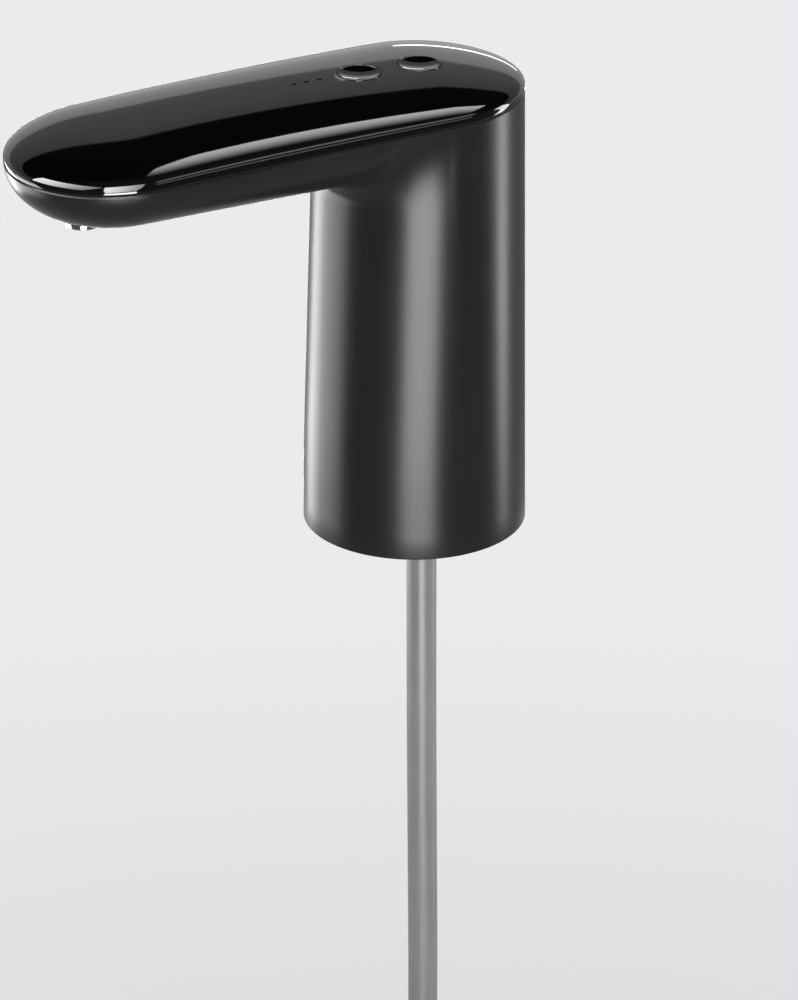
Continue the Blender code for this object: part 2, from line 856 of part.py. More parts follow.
def make_drive_case(look):
    """The drum between the diaphragm and the motor, open below, with the motor's seat on top."""
    low = drive_low
    high = low + drive_height
    inner = pump_radius - drive_wall
    profile = [(motor_boss_radius + gap, high), (pump_radius, high), (pump_radius, low), (inner, low),
               (inner, high - drive_roof), (motor_boss_radius + gap, high - drive_roof)]
    case = turned("drive_case", look, profile, (0, -pump_offset))
    for angle in pump_screw_angles:
        place = pump_point(pump_screw_circle, angle)
        post = disc("screw_post", None, drive_wall * 1.2, low + gap, low + cup_height, place,
                    small_steps)
        combine(case, post, "UNION")
        combine(case, disc("case_pilot", None, pump_screw_radius + gap, low - overrun,
                           low + cup_height - drive_wall, place, hole_steps))
    return case


def make_drive_train(plastic, steel):
    """The crank that turns with the motor, and the plate that it rocks."""
    pivot = Vector((0, -pump_offset, pivot_z))
    lean = Vector((math.sin(wobble_tilt), 0, math.cos(wobble_tilt)))
    low = eccentric_low
    high = low + eccentric_height
    eccentric = disc("eccentric", plastic, eccentric_radius, low, high, (0, -pump_offset))
    combine(eccentric, disc("shaft_hole", None, shaft_radius + gap / 2, low + eccentric_height / 2,
                            high + overrun, (0, -pump_offset), small_steps))
    crank_top = pivot + lean * ((low + eccentric_height * 0.35 - pivot_z) / lean.z)
    crank_low = pivot + lean * (wobble_thickness + wobble_hub_height / 3)
    combine(eccentric, rod("crank_hole", None, crank_radius + gap / 2, crank_low, crank_top))
    top = pivot + lean * ((low + eccentric_height * 0.3 - pivot_z) / lean.z)
    pin = rod("crank_pin", steel, crank_radius, crank_low + lean * gap, top)
    bm = bmesh.new()
    turn = Matrix.Translation(pivot) @ Matrix.Rotation(wobble_tilt, 4, "Y")
    bmesh.ops.create_cone(bm, cap_ends=True, segments=round_steps, radius1=wobble_radius,
                          radius2=wobble_radius, depth=wobble_thickness,
                          matrix=turn @ Matrix.Translation((0, 0, wobble_thickness / 2)))
    plate = object_from(bm, "wobble_plate", plastic)
    hub_top = pivot + lean * (wobble_thickness + wobble_hub_height)
    combine(plate, rod("hub", None, wobble_hub_radius, pivot + lean * wobble_thickness / 2, hub_top),
            "UNION")
    combine(plate, rod("hub_hole", None, crank_radius + gap, crank_low, hub_top + lean * overrun))
    for angle in chamber_angles:
        between = angle + math.pi / 3
        notch = Vector((math.cos(between), math.sin(between), 0)) * (wobble_radius + cup_wall)
        centre = turn @ notch
        combine(plate, rod("notch", None, cup_radius, centre - lean * overrun,
                           centre + lean * (wobble_thickness + overrun)))
    hang((pin, plate), "wobble_pivot", pivot)


def make_motor(steel, plastic, copper, magnet_look, bronze):
    place = (0, -pump_offset)
    low = motor_low
    high = low + motor_height
    bore = shaft_radius + gap / 2
    profile = [(motor_radius - motor_wall, high), (motor_radius, high), (motor_radius, low),
               (motor_boss_radius, low), (motor_boss_radius, low - drive_roof / 2),
               (bush_radius + gap / 2, low - drive_roof / 2),
               (bush_radius + gap / 2, low + motor_wall),
               (motor_radius - motor_wall, low + motor_wall)]
    turned("motor_can", steel, profile, place)
    washer("front_bush", bronze, bore, bush_radius, low - drive_roof / 2,
           low - drive_roof / 2 + bush_height, place, small_steps)
    profile = [(bush_radius + gap / 2, cap_top), (motor_radius, cap_top), (motor_radius, high + gap),
               (bush_radius + gap / 2, high + gap)]
    end_cap = turned("motor_end_cap", plastic, profile, place)
    for side in (-1, 1):
        x = side * motor_radius * 0.55
        wide = terminal_thickness / 2 + gap
        deep = terminal_width / 2 + gap
        combine(end_cap, block("terminal_slot", None, (x - wide, -pump_offset - deep, high - overrun),
                               (x + wide, -pump_offset + deep, cap_top + overrun)))
    washer("rear_bush", bronze, bore, bush_radius, high + gap, high + gap + bush_height, place,
           small_steps)
    shaft_low = eccentric_low + eccentric_height / 2 + gap
    disc("motor_shaft", steel, shaft_radius, shaft_low, cap_top + shaft_radius, place, small_steps)
    make_rotor(steel, copper, low, high)
    make_magnets(magnet_look, low + motor_wall + cap_height)
    for side, number in ((-1, "1"), (1, "2")):
        make_brush(number, side, copper, high, cap_top)


def make_brush(number, side, look, high, cap_top):
    """A copper strip: the brush inside the motor, and the terminal above its end cap."""
    x = side * motor_radius * 0.55
    half = terminal_width / 2
    strip = block("brush_" + number, look,
                  (x - terminal_thickness / 2, -pump_offset - half, high - brush_width),
                  (x + terminal_thickness / 2, -pump_offset + half, cap_top + terminal_height))
    inner = side * (commutator_radius + gap)
    outer = x + side * terminal_thickness / 4
    arm = block("brush_arm", None, (min(inner, outer), -pump_offset - half * 0.8, high - brush_width),
                (max(inner, outer), -pump_offset + half * 0.8, high - brush_width / 2))
    combine(strip, arm, "UNION")


def make_rotor(steel, copper, low, high):
    """The three-pole core, with open slots between its poles, and the commutator above it."""
    base = low + motor_wall + cap_height + (magnet_height - rotor_height) / 2
    top = base + rotor_height
    core = washer("rotor_core", steel, shaft_radius + gap / 2, rotor_radius, base, top,
                  (0, -pump_offset))
    for angle in chamber_angles:
        combine(core, disc("rotor_slot", None, rotor_slot_radius, base - overrun, top + overrun,
                           pump_point(rotor_hub + rotor_slot_radius, angle), small_steps))
    washer("commutator", copper, shaft_radius + gap / 2, commutator_radius,
           top + gap, min(top + gap + commutator_height, high - gap), (0, -pump_offset), small_steps)


def make_magnets(look, base):
    outer = motor_radius - motor_wall - gap
    inner = outer - magnet_thickness
    for number, middle in (("1", math.pi / 2), ("2", -math.pi / 2)):
        magnet = washer("magnet_" + number, look, inner, outer, base, base + magnet_height,
                        (0, -pump_offset), wide_steps)
        half = magnet_angle / 2
        for side in (-1, 1):
            edge = middle + side * (half + math.pi / 2)
            centre = pump_point(motor_radius, edge)
            bm = bmesh.new()
            spin = Matrix.Translation((centre[0], centre[1], base + magnet_height / 2))
            spin = spin @ Matrix.Rotation(edge, 4, "Z")
            size = Matrix.Diagonal((2 * motor_radius, 4 * motor_radius, 2 * magnet_height, 1))
            bmesh.ops.create_cube(bm, size=1, matrix=spin @ size)
            combine(magnet, object_from(bm, "magnet_end", None))


# Battery in its tray, with a spring contact below and a plate contact above
battery_length = 0.0652
tray_floor = 0.0015
contact_thickness = 0.0005
contact_height = 0.0022


def make_battery(can_look, tray_look, metal):
    place = (0, battery_offset)
    floor_low = deck_top + gap
    floor_top = floor_low + tray_floor
    battery_top = battery_low + battery_length
    inner = battery_radius + gap
    outer = tray_radius
    rim = battery_radius * 0.97
    step = contact_thickness * 2
    profile = [(0, battery_top), (battery_radius * 0.35, battery_top),
               (battery_radius * 0.35, battery_top - step), (rim, battery_top - step),
               (battery_radius, battery_top - 2 * step), (battery_radius, battery_low + step),
               (rim, battery_low), (0, battery_low)]
    turned("battery", can_look, profile, place)
    tray = turned("battery_tray", tray_look,
                  [(0, tray_roof_low + tray_floor), (outer, tray_roof_low + tray_floor), (outer, floor_low),
                   (0, floor_low)], place)
    combine(tray, disc("tray_room", None, inner, floor_top, tray_roof_low, place))
    combine(tray, block("tray_front", None, (-outer - overrun, battery_offset - outer - overrun,
                                             floor_top + battery_radius),
                        (outer + overrun, battery_offset - inner * 0.35,
                         tray_roof_low - battery_radius)))
    disc("contact_plus", metal, battery_radius * 0.5, battery_top + gap,
         battery_top + gap + contact_thickness, place, small_steps)
    turned("contact_minus", metal,
           [(0, battery_low - gap), (battery_radius * 0.25, battery_low - gap),
            (battery_radius * 0.6, floor_top + gap), (0, floor_top + gap)], place, small_steps)


# Charging board, its socket and the rubber flap over the port
socket_width = 0.0089
socket_height = 0.0032
socket_wall = 0.0003
flap_tongue = 0.0011


def make_charging(board_look, metal, rubber):
    low = deck_top + gap
    half = charge_board_width / 2
    block("charge_board", board_look, (charge_board_x, -half, low),
          (charge_board_x + board_thickness, half, low + charge_board_height))
    start = charge_board_x + board_thickness + gap
    end = column_radius(port_height) - port_recess_depth - gap
    socket = block("charge_socket", metal,
                   (start, -socket_width / 2, port_height - socket_height / 2),
                   (end, socket_width / 2, port_height + socket_height / 2), bevel=socket_height / 3)
    combine(socket, block("socket_mouth", None,
                          (start + 2 * socket_wall, -socket_width / 2 + socket_wall,
                           port_height - socket_height / 2 + socket_wall),
                          (end + overrun, socket_width / 2 - socket_wall,
                           port_height + socket_height / 2 - socket_wall), bevel=socket_height / 4))
    outer = column_radius(port_height)
    flap = washer("port_flap", rubber, outer - port_recess_depth + gap, outer,
                  port_height - port_recess_height / 2 + gap,
                  port_height + port_recess_height / 2 - gap, steps=96)
    window = block("flap_window", None,
                   (0, -port_recess_width / 2 + gap, port_height - port_recess_height),
                   (rim_radius + overrun, port_recess_width / 2 - gap,
                    port_height + port_recess_height), bevel=flap_tongue)
    combine(flap, window, "INTERSECT")
    hang((flap,), "flap_hinge", (outer, 0, port_height - port_recess_height / 2 + gap))


# Control board under the cover, with its switches, lights, light guide and plug
board_margin = 0.004
board_front = board_boss_places[-1][0] - board_margin
board_back = 0.0135
board_half_width = 0.013
light_width = 0.0016
light_height = 0.0008
guide_half_width = 0.0022
guide_margin = 0.002
guide_pin_radius = 0.00045
plug_size = (0.007, 0.006, 0.0048)
plug_place = (-0.009, 0.004)
chip_size = (0.005, 0.005, 0.0012)
chip_place = (-0.026, 0.0075)


def make_board(board_look, black, plastic, clear, steel):
    low = board_face - board_thickness
    board = block("control_board", board_look, (board_front, -board_half_width, low),
                  (board_back, board_half_width, board_face))
    for number, place in enumerate(board_boss_places, 1):
        combine(board, disc("board_hole", None, pilot_radius + gap, low - overrun,
                            board_face + overrun, place, hole_steps))
        make_screw("board_screw_" + str(number), steel, place, low - gap, boss_height / 3, True)
    for number, x in zip(("1", "2"), button_places):
        make_switch(number, x, black, plastic)
    guide_low = board_face + light_height + 2 * gap
    guide_top = inner_cover_z(light_places[0], guide_half_width) - 2 * gap
    for x in light_places:
        combine(board, block("indicator", None, (x - light_width / 2, -light_width / 3,
                                                 board_face - light_height),
                             (x + light_width / 2, light_width / 3, board_face + light_height)),
                "UNION")
    guide = block("light_guide", clear, (light_places[-1] - guide_margin, -guide_half_width, guide_low),
                  (light_places[0] + guide_margin, guide_half_width, guide_top))
    for x in light_places:
        combine(guide, disc("guide_pin", None, guide_pin_radius, guide_top - cover_wall,
                            cover_z(x, 0) - gap / 3, (x, 0), hole_steps), "UNION")
    x, y = plug_place
    wide, deep, high = plug_size
    combine(board, block("lead_plug", None, (x - wide / 2, y - deep / 2, low - high),
                         (x + wide / 2, y + deep / 2, low + board_thickness / 2)), "UNION")
    x, y = chip_place
    wide, deep, high = chip_size
    combine(board, block("chip", None, (x - wide / 2, y - deep / 2, board_face - high / 2),
                         (x + wide / 2, y + deep / 2, board_face + high)), "UNION")


# Spout: a bright ring through the boss under the tip, with the tube's barb inside it
spout_ring_radius = 0.0050
spout_ring_height = 0.0016
spout_sleeve_radius = 0.0039
spout_bore = 0.0030
nozzle_radius = 0.0026
nozzle_bore = 0.0018
nozzle_inset = 0.0006


def make_spout(steel, plastic):
    place = (-spout_reach, 0)
    flange_top = spout_face - gap
    flange_low = flange_top - spout_ring_height
    sleeve_top = spout_face + spout_boss_height + gap
    edge = spout_ring_height / 4
    ring = [(spout_bore, sleeve_top), (spout_sleeve_radius, sleeve_top), (spout_sleeve_radius, flange_top),
            (spout_ring_radius, flange_top), (spout_ring_radius, flange_low + edge),
            (spout_ring_radius - edge, flange_low), (spout_bore + edge, flange_low),
            (spout_bore, flange_low + edge)]
    turned("spout_ring", steel, ring, place)
    barb_low = sleeve_top + gap
    nozzle = [(nozzle_bore, nozzle_top), (barb_radius, nozzle_top), (barb_radius, barb_low + edge),
              (spout_sleeve_radius, barb_low + edge), (spout_sleeve_radius, barb_low),
              (nozzle_radius, barb_low), (nozzle_radius, flange_low + nozzle_inset),
              (nozzle_bore, flange_low + nozzle_inset)]
    turned("spout_nozzle", plastic, nozzle, place, small_steps)


# Inner tubes: from the spigot to the pump, and from the pump up the column and along the arm
tube_spacing = 0.0085


def make_inner_tubes(look):
    """Silicone tubes, straight where they are pushed over a barb."""
    straight = barb_length + tube_wall
    start = Vector((inlet_offset, 0, base_top + gap))
    bend = Vector((inlet_offset, 0, base_top + spigot_rise + tube_wall))
    rise = Vector((0, barb_offset - pump_offset, deck_top - straight))
    end = Vector((0, barb_offset - pump_offset, deck_top))
    third = (rise.z - bend.z) / 3
    inlet = [bend, bend.lerp(rise, 0.16) + Vector((0, 0, third * 0.5)), bend.lerp(rise, 0.5),
             bend.lerp(rise, 0.84) - Vector((0, 0, third * 0.5)), rise]
    path = [start] + smooth_path(inlet, tube_spacing * 0.4) + [end]
    tube("inlet_tube", look, path, tube_radius, tube_wall)
    x, y = riser_place
    arm_z = (hull_z(-head_reach / 2, 0) + parting_z(-head_reach / 2)) / 2
    start = Vector((0, -barb_offset - pump_offset, deck_top))
    bend = start - Vector((0, 0, straight))
    riser = Vector((x, y, deck_height - tube_radius))
    drop = Vector((0, 0, tube_radius * 2.9))
    across = [bend, bend.lerp(riser, 0.17) - drop * 0.75, bend.lerp(riser, 0.5) - drop,
              bend.lerp(riser, 0.83) - drop * 0.75, riser,
              Vector((x, y, (deck_top + arm_z) / 2)),
              Vector((x, y * 0.8, arm_z - 4 * tube_radius)),
              Vector((x - 2 * tube_radius, y * 0.4, arm_z - tube_radius / 2)),
              Vector((-head_reach * 0.5, 0, arm_z + tube_radius / 2)),
              Vector((-head_reach * 0.8, 0, arm_z + tube_radius * 0.9)),
              Vector((-spout_reach + tube_radius * 2.2, 0, nozzle_top + tube_radius * 2.5)),
              Vector((-spout_reach + tube_radius * 0.5, 0, nozzle_top + tube_radius * 1.8)),
              Vector((-spout_reach, 0, nozzle_top + tube_wall))]
    end = Vector((-spout_reach, 0, nozzle_top - barb_length * 0.7))
    tube("outlet_tube", look, [start] + smooth_path(across, tube_spacing) + [end], tube_radius,
         tube_wall)


# Hose: its cuff over the spigot, the free hose and the strainer foot on its end
hose_radius = 0.0045
cuff_radius = 0.0051
cuff_length = 0.014
hose_route = [(0.0024, 0.0, -0.0158), (0.0024, 0.0, -0.040), (0.0025, 0.0, -0.085),
              (0.0028, 0.0, -0.130), (0.0031, 0.0, -0.175), (0.0030, 0.0, -0.220),
              (0.0024, 0.0, -0.265), (0.0014, 0.0, -0.310), (0.0004, 0.0, -0.350),
              (-0.0002, 0.0, -0.385), (-0.0002, 0.0, -0.4158)]
foot_radius = 0.0062
foot_length = 0.024
foot_slots = 3
foot_slot_width = 0.0018


def make_hose(look, plastic):
    top = pad_thickness + gap - collar_height - gap
    washer("hose_cuff", look, spigot_radius + gap, cuff_radius, top - cuff_length, top,
           (inlet_offset, 0), small_steps)
    tube("hose", look, smooth_path(hose_route, hose_radius * 4), hose_radius, smoothness=3)
    x, y, low = hose_route[-1]
    top = low - gap
    foot = top - foot_length
    edge = foot_slot_width
    profile = [(0, top), (hose_radius, top), (foot_radius, top - 2 * edge),
               (foot_radius, foot + edge), (foot_radius - edge, foot), (0, foot)]
    strainer = turned("intake_foot", plastic, profile, (x, y), small_steps)
    combine(strainer, disc("foot_bore", None, hose_radius - gap, foot - overrun,
                           top - foot_length * 0.25, (x, y), small_steps))
    for i in range(foot_slots):
        angle = math.pi * i / foot_slots
        bm = bmesh.new()
        spin = Matrix.Translation((x, y, foot)) @ Matrix.Rotation(angle, 4, "Z")
        size = Matrix.Diagonal((4 * foot_radius, foot_slot_width, foot_length, 1))
        bmesh.ops.create_cube(bm, size=1, matrix=spin @ size)
        combine(strainer, object_from(bm, "foot_slot", None))


# Leads: motor, battery and charging board to the plug under the control board
lead_radius = 0.0009
lead_spacing = 0.003


def make_leads(red, black):
    low = board_face - board_thickness
    x, y = plug_place
    wide, deep, high = plug_size
    plug_z = low - high * 0.6
    face = y - deep / 2 - gap
    start = -motor_radius * 0.55
    tab = cap_top + terminal_height + 2 * gap
    route = [(start, -pump_offset, tab), (start, -pump_offset + lead_radius, tab + lead_radius * 2),
             ((start + x) / 2, (face - pump_offset) / 2, plug_z - lead_radius),
             (x, face - lead_radius * 3, plug_z), (x, face, plug_z)]
    tube("motor_lead", red, smooth_path(route, lead_spacing), lead_radius)
    back = y + deep / 2 + gap
    top = tray_roof_low + tray_floor
    route = [(0, battery_offset, top + gap), (0, battery_offset, top + 3 * lead_radius),
             (x * 0.5, (battery_offset + back) / 2, plug_z + lead_radius),
             (x + wide * 0.2, back + lead_radius * 3, plug_z), (x + wide * 0.2, back, plug_z)]
    tube("battery_lead", black, smooth_path(route, lead_spacing), lead_radius)
    side_face = x + wide / 2 + gap
    board_edge = deck_top + gap + charge_board_height
    middle = charge_board_x + board_thickness / 2
    route = [(middle, 0, board_edge + gap), (middle, 0, board_edge + lead_radius * 6),
             (charge_board_x, 0, (board_edge + plug_z) / 2),
             (charge_board_x * 0.85, y / 2, plug_z - lead_radius * 8),
             (charge_board_x * 0.35, y, plug_z), (side_face, y, plug_z)]
    tube("charge_lead", red, smooth_path(route, lead_spacing * 2), lead_radius)


# Levels that several pieces share, worked out from the sizes above. The column is as tall as the
# taller of the two stacks on the deck, the battery in its tray and the pump with its motor.
base_top = pad_thickness + gap + base_thickness
deck_top = deck_height + deck_thickness
valve_low = deck_top + gap + head_thickness + gap
sheet_low = valve_low + valve_thickness + gap
drive_low = sheet_low + sheet_thickness + gap
motor_low = drive_low + drive_height + gap
battery_low = deck_top + gap + tray_floor + gap + contact_height + gap
tray_roof_low = battery_low + battery_length + gap + contact_thickness + gap
cap_top = motor_low + motor_height + gap + cap_height
motor_top = cap_top + terminal_height + 4 * lead_radius
board_room = 0.0064
parting_height = max(tray_roof_low + tray_floor, motor_top) + board_room
board_face = parting_height - board_drop
switch_top = board_face + gap + switch_height
plunger_top = switch_top + plunger_height
spout_face = hull_z(-spout_reach, 0) - spout_boss_drop
nozzle_top = spout_face + spout_boss_height + 2 * gap + barb_length * 0.8
chamber_angles = tuple(angle + math.pi / 3 for angle in pump_screw_angles)
tilt_drop = wobble_radius * math.sin(wobble_tilt)
pivot_z = sheet_low + sheet_thickness + cup_height + gap + tilt_drop
eccentric_low = motor_low - drive_roof / 2 - gap - eccentric_height


def make_pump_screws(look):
    """Long screws from under the head up into the drive case, which clamp the pump together."""
    low = deck_top + 2 * gap
    seat = low + pump_screw_head
    top = drive_low + cup_height - drive_wall - gap
    profile = [(0, top), (pump_screw_radius, top), (pump_screw_radius, seat), (pump_screw_head, seat),
               (pump_screw_head, low), (0, low)]
    for number, angle in enumerate(pump_screw_angles, 1):
        place = pump_point(pump_screw_circle, angle)
        turned("pump_screw_" + str(number), look, profile, place, hole_steps)


def make_all():
    shell = finish("satin_grey", (0.075, 0.077, 0.082), 0.38, 0.45)
    gloss = finish("gloss_black", (0.004, 0.004, 0.005), 0.05)
    black = finish("black_plastic", (0.02, 0.02, 0.021), 0.5)
    white = finish("white_plastic", (0.75, 0.75, 0.73), 0.45)
    rubber = finish("black_rubber", (0.025, 0.025, 0.026), 0.75)
    silicone = finish("clear_silicone", (0.72, 0.74, 0.75), 0.3)
    grey_silicone = finish("grey_silicone", (0.21, 0.215, 0.22), 0.4)
    steel = finish("steel", (0.62, 0.62, 0.63), 0.22, 1.0)
    can = finish("motor_steel", (0.5, 0.5, 0.51), 0.35, 1.0)
    copper = finish("copper", (0.72, 0.38, 0.2), 0.3, 1.0)
    bronze = finish("bronze", (0.5, 0.36, 0.16), 0.4, 1.0)
    magnet = finish("ferrite", (0.05, 0.05, 0.055), 0.7)
    board = finish("board_green", (0.02, 0.12, 0.05), 0.4)
    sleeve = finish("battery_sleeve", (0.03, 0.12, 0.35), 0.35)
    red = finish("red_lead", (0.5, 0.02, 0.02), 0.45)
    lamp = finish("indicator_lens", (0.9, 0.9, 0.85), 0.2)
    make_housing(shell)
    make_cover(gloss)
    make_button("power_button", button_places[0], gloss)
    make_button("dispense_button", button_places[1], gloss)
    make_board(board, black, white, lamp, steel)
    make_base_cup(black)
    make_gasket(rubber)
    make_pad(rubber)
    make_deck(white)
    for number, angle in enumerate(base_screw_angles, 1):
        make_screw("base_screw_" + str(number), steel, around(base_screw_circle, angle),
                   pad_thickness + gap + screw_head_height, boss_height * 0.9, True)
    for number, angle in enumerate(post_angles, 1):
        make_screw("deck_screw_" + str(number), steel, around(post_circle, angle), deck_top + gap,
                   boss_height * 0.9, False)
    make_pump_head(white)
    make_valve_plate(white, rubber)
    make_diaphragm(rubber)
    make_drive_case(white)
    make_pump_screws(steel)
    make_drive_train(white, steel)
    make_motor(can, black, copper, magnet, bronze)
    make_battery(sleeve, black, steel)
    make_charging(board, steel, rubber)
    make_spout(steel, black)
    make_inner_tubes(silicone)
    make_hose(grey_silicone, black)
    make_leads(red, rubber)


PARTS, CUTTERS = start_scene()
make_all()
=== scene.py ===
"""The looks of an electric pump for the neck of a large water bottle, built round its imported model.

Metres, +Z up. The origin is on the column's axis at the seat, and the arm reaches towards -X.
"""
import math

import bmesh
import bpy
from mathutils import Matrix, Quaternion, Vector


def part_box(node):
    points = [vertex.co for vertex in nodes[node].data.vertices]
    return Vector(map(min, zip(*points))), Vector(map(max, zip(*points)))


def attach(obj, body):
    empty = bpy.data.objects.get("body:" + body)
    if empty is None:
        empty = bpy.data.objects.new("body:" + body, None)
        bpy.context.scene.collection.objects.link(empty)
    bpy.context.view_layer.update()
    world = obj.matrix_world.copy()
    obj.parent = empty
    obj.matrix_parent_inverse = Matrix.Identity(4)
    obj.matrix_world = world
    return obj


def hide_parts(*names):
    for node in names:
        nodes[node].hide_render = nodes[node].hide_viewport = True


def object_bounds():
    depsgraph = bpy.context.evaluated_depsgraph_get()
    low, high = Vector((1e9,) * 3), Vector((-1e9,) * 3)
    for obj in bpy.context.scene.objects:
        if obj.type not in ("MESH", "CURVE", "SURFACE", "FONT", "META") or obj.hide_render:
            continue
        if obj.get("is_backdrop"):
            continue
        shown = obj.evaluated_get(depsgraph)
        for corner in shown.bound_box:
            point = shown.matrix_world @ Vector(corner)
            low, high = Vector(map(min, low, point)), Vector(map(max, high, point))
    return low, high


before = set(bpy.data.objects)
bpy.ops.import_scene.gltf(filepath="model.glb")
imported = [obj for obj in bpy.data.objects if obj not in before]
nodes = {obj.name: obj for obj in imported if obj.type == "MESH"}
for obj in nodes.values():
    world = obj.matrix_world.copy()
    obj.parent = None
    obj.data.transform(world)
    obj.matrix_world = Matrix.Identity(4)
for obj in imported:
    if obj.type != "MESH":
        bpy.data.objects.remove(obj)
cad_low, cad_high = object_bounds()

# The camera stands in front of the pump and towards its spout, and looks 25 degrees down on it.
# The column's lower rim, drawn 111 pixels to each side of its middle, sets the focal length.
picture_width = 798
picture_height = 1000
rim_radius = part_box("housing")[1].y
rim_pixels = 110.9
rim_centre_column = 414.3
rim_centre_row = 512.0
camera_distance = 1.8
camera_height_angle = math.radians(25.2)
camera_turn = math.radians(-26)
focal_pixels = rim_pixels / rim_radius * camera_distance
rim_centre = Vector((0, 0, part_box("housing")[0].z))

towards_camera = Matrix.Rotation(camera_turn, 3, "Z") @ Vector((0, -1, 0))
screen_right = Matrix.Rotation(camera_turn, 3, "Z") @ Vector((1, 0, 0))
camera_back = towards_camera * math.cos(camera_height_angle) + Vector((0, 0, math.sin(camera_height_angle)))
camera_up = camera_back.cross(screen_right)
metres_per_pixel = camera_distance / focal_pixels
camera_place = rim_centre + camera_back * camera_distance
camera_place -= screen_right * (rim_centre_column - picture_width / 2) * metres_per_pixel
camera_place += camera_up * (rim_centre_row - picture_height / 2) * metres_per_pixel
camera = bpy.data.objects.new("camera", bpy.data.cameras.new("camera"))
camera.data.sensor_width = 36
camera.data.lens = focal_pixels * camera.data.sensor_width / picture_height
camera.data.clip_end = 20
view_axes = Matrix((screen_right, camera_up, camera_back)).transposed()
camera.matrix_world = Matrix.Translation(camera_place) @ view_axes.to_4x4()
bpy.context.scene.collection.objects.link(camera)
bpy.context.scene.camera = camera


# Shader maths: a Wire is one output of a node, so that a sum of wires reads as a plain sum.
# A Finish is one material, the world or a lamp, with its nodes and the shader at their end.
class Wire:
    def __init__(self, finish, socket):
        self.finish = finish
        self.socket = socket

    def maths(self, operation, first, second):
        settings = {"operation": operation}
        return self.finish.node("ShaderNodeMath", settings, {0: first, 1: second})[0]

    def __add__(self, other):
        return self.maths("ADD", self, other)

    def __radd__(self, other):
        return self.maths("ADD", other, self)

    def __rsub__(self, other):
        return self.maths("SUBTRACT", other, self)

    def __mul__(self, other):
        return self.maths("MULTIPLY", self, other)

    def __rmul__(self, other):
        return self.maths("MULTIPLY", other, self)


class Finish:
    def __init__(self, name, tree=None):
        if tree is None:
            self.material = bpy.data.materials.new(name)
            self.material.use_nodes = True
            tree = self.material.node_tree
        self.tree = tree

    def feed(self, node, values):
        """Set a node's sockets. A wire is linked, and a colour gets its fourth number."""
        for key, value in values.items():
            socket = node.inputs[key]
            if isinstance(value, Wire):
                self.tree.links.new(value.socket, socket)
            elif socket.type == "RGBA":
                socket.default_value = (*value, 1)
            else:
                socket.default_value = value
        return [Wire(self, output) for output in node.outputs]

    def node(self, kind, settings=None, values=None):
        """Add a node, and return its outputs. Its settings come first, then its sockets."""
        made = self.tree.nodes.new(kind)
        for key, value in (settings or {}).items():
            setattr(made, key, value)
        return self.feed(made, values or {})

    def place(self):
        """Place on the piece in its own frame, in metres."""
        return self.node("ShaderNodeTexCoord")[3]

    def noise(self, size, detail=2.0, squash=(1, 1, 1)):
        """Soft noise from 0 to 1, with patches of a size, drawn out along any axis that squash lowers."""
        scaled = self.node("ShaderNodeVectorMath", {"operation": "MULTIPLY"},
                           {0: self.place(), 1: squash})[0]
        return self.node("ShaderNodeTexNoise", None,
                         {"Vector": scaled, "Scale": 1 / size, "Detail": detail})[0]

    def range(self, value, low, high, start=0.0, end=1.0):
        """Spread a value between low and high over start to end, eased at both ends."""
        return self.node("ShaderNodeMapRange", {"interpolation_type": "SMOOTHSTEP"},
                         {"Value": value, "From Min": low, "From Max": high, "To Min": start,
                          "To Max": end})[0]

    def mix(self, share, first, second):
        """Blend two colours."""
        return self.node("ShaderNodeMix", {"data_type": "RGBA"}, {0: share, 6: first, 7: second})[2]

    def surface(self, colour, roughness, relief=None, depth=0.0, **constants):
        """Feed the shader at the end. Relief is a height from 0 to 1, and depth its size in metres."""
        values = {"Base Color": colour, "Roughness": roughness, **constants}
        if relief is not None:
            values["Normal"] = self.node("ShaderNodeBump", None, {"Height": relief, "Distance": depth})[0]
        self.feed(self.tree.nodes["Principled BSDF"], values)
        return self.material

    def show(self, shader):
        """Put a shader at the end of the nodes."""
        self.feed(next(node for node in self.tree.nodes if "OUTPUT" in node.type), {0: shader})


def add_piece(name, mesh, material, crease=32):
    """Show a mesh as a piece, shaded smooth except over creases of more than an angle."""
    mesh.materials.clear()
    mesh.materials.append(material)
    mesh.shade_smooth()
    mesh.set_sharp_from_angle(angle=math.radians(crease))
    piece = bpy.data.objects.new(name, mesh)
    bpy.context.scene.collection.objects.link(piece)
    return piece


def dress(names, material):
    """Give pieces of the model, as they are, a finish."""
    for name in names:
        slots = nodes[name].data.materials
        for i in range(len(slots)):
            slots[i] = material


# The suction hose is extruded grey silicone with faint draw lines along it. It hangs from the
# base's spigot under its own weight, with a soft cuff at the top and a strainer at its foot.
hose_radius = 0.0045
hose_route = [(0.0024, 0.0, -0.0158), (0.0024, 0.0, -0.040), (0.0025, 0.0, -0.085),
              (0.0028, 0.0, -0.130), (0.0031, 0.0, -0.175), (0.0030, 0.0, -0.220),
              (0.0024, 0.0, -0.265), (0.0014, 0.0, -0.310), (0.0004, 0.0, -0.350),
              (-0.0002, 0.0, -0.385), (-0.0002, 0.0, -0.4158)]


def smooth_path(points, steps):
    """Points along a smooth curve through a route's own points, with equal steps between each two."""
    route = [Vector(point) for point in points]
    route = [2 * route[0] - route[1]] + route + [2 * route[-1] - route[-2]]
    path = []
    for i in range(1, len(route) - 2):
        before, start, end, after = route[i - 1:i + 3]
        for k in range(steps):
            t = k / steps
            bend = 2 * before - 5 * start + 4 * end - after
            twist = 3 * start - before - 3 * end + after
            path.append((2 * start + (end - before) * t + bend * t * t + twist * t ** 3) / 2)
    path.append(route[-2])
    return path


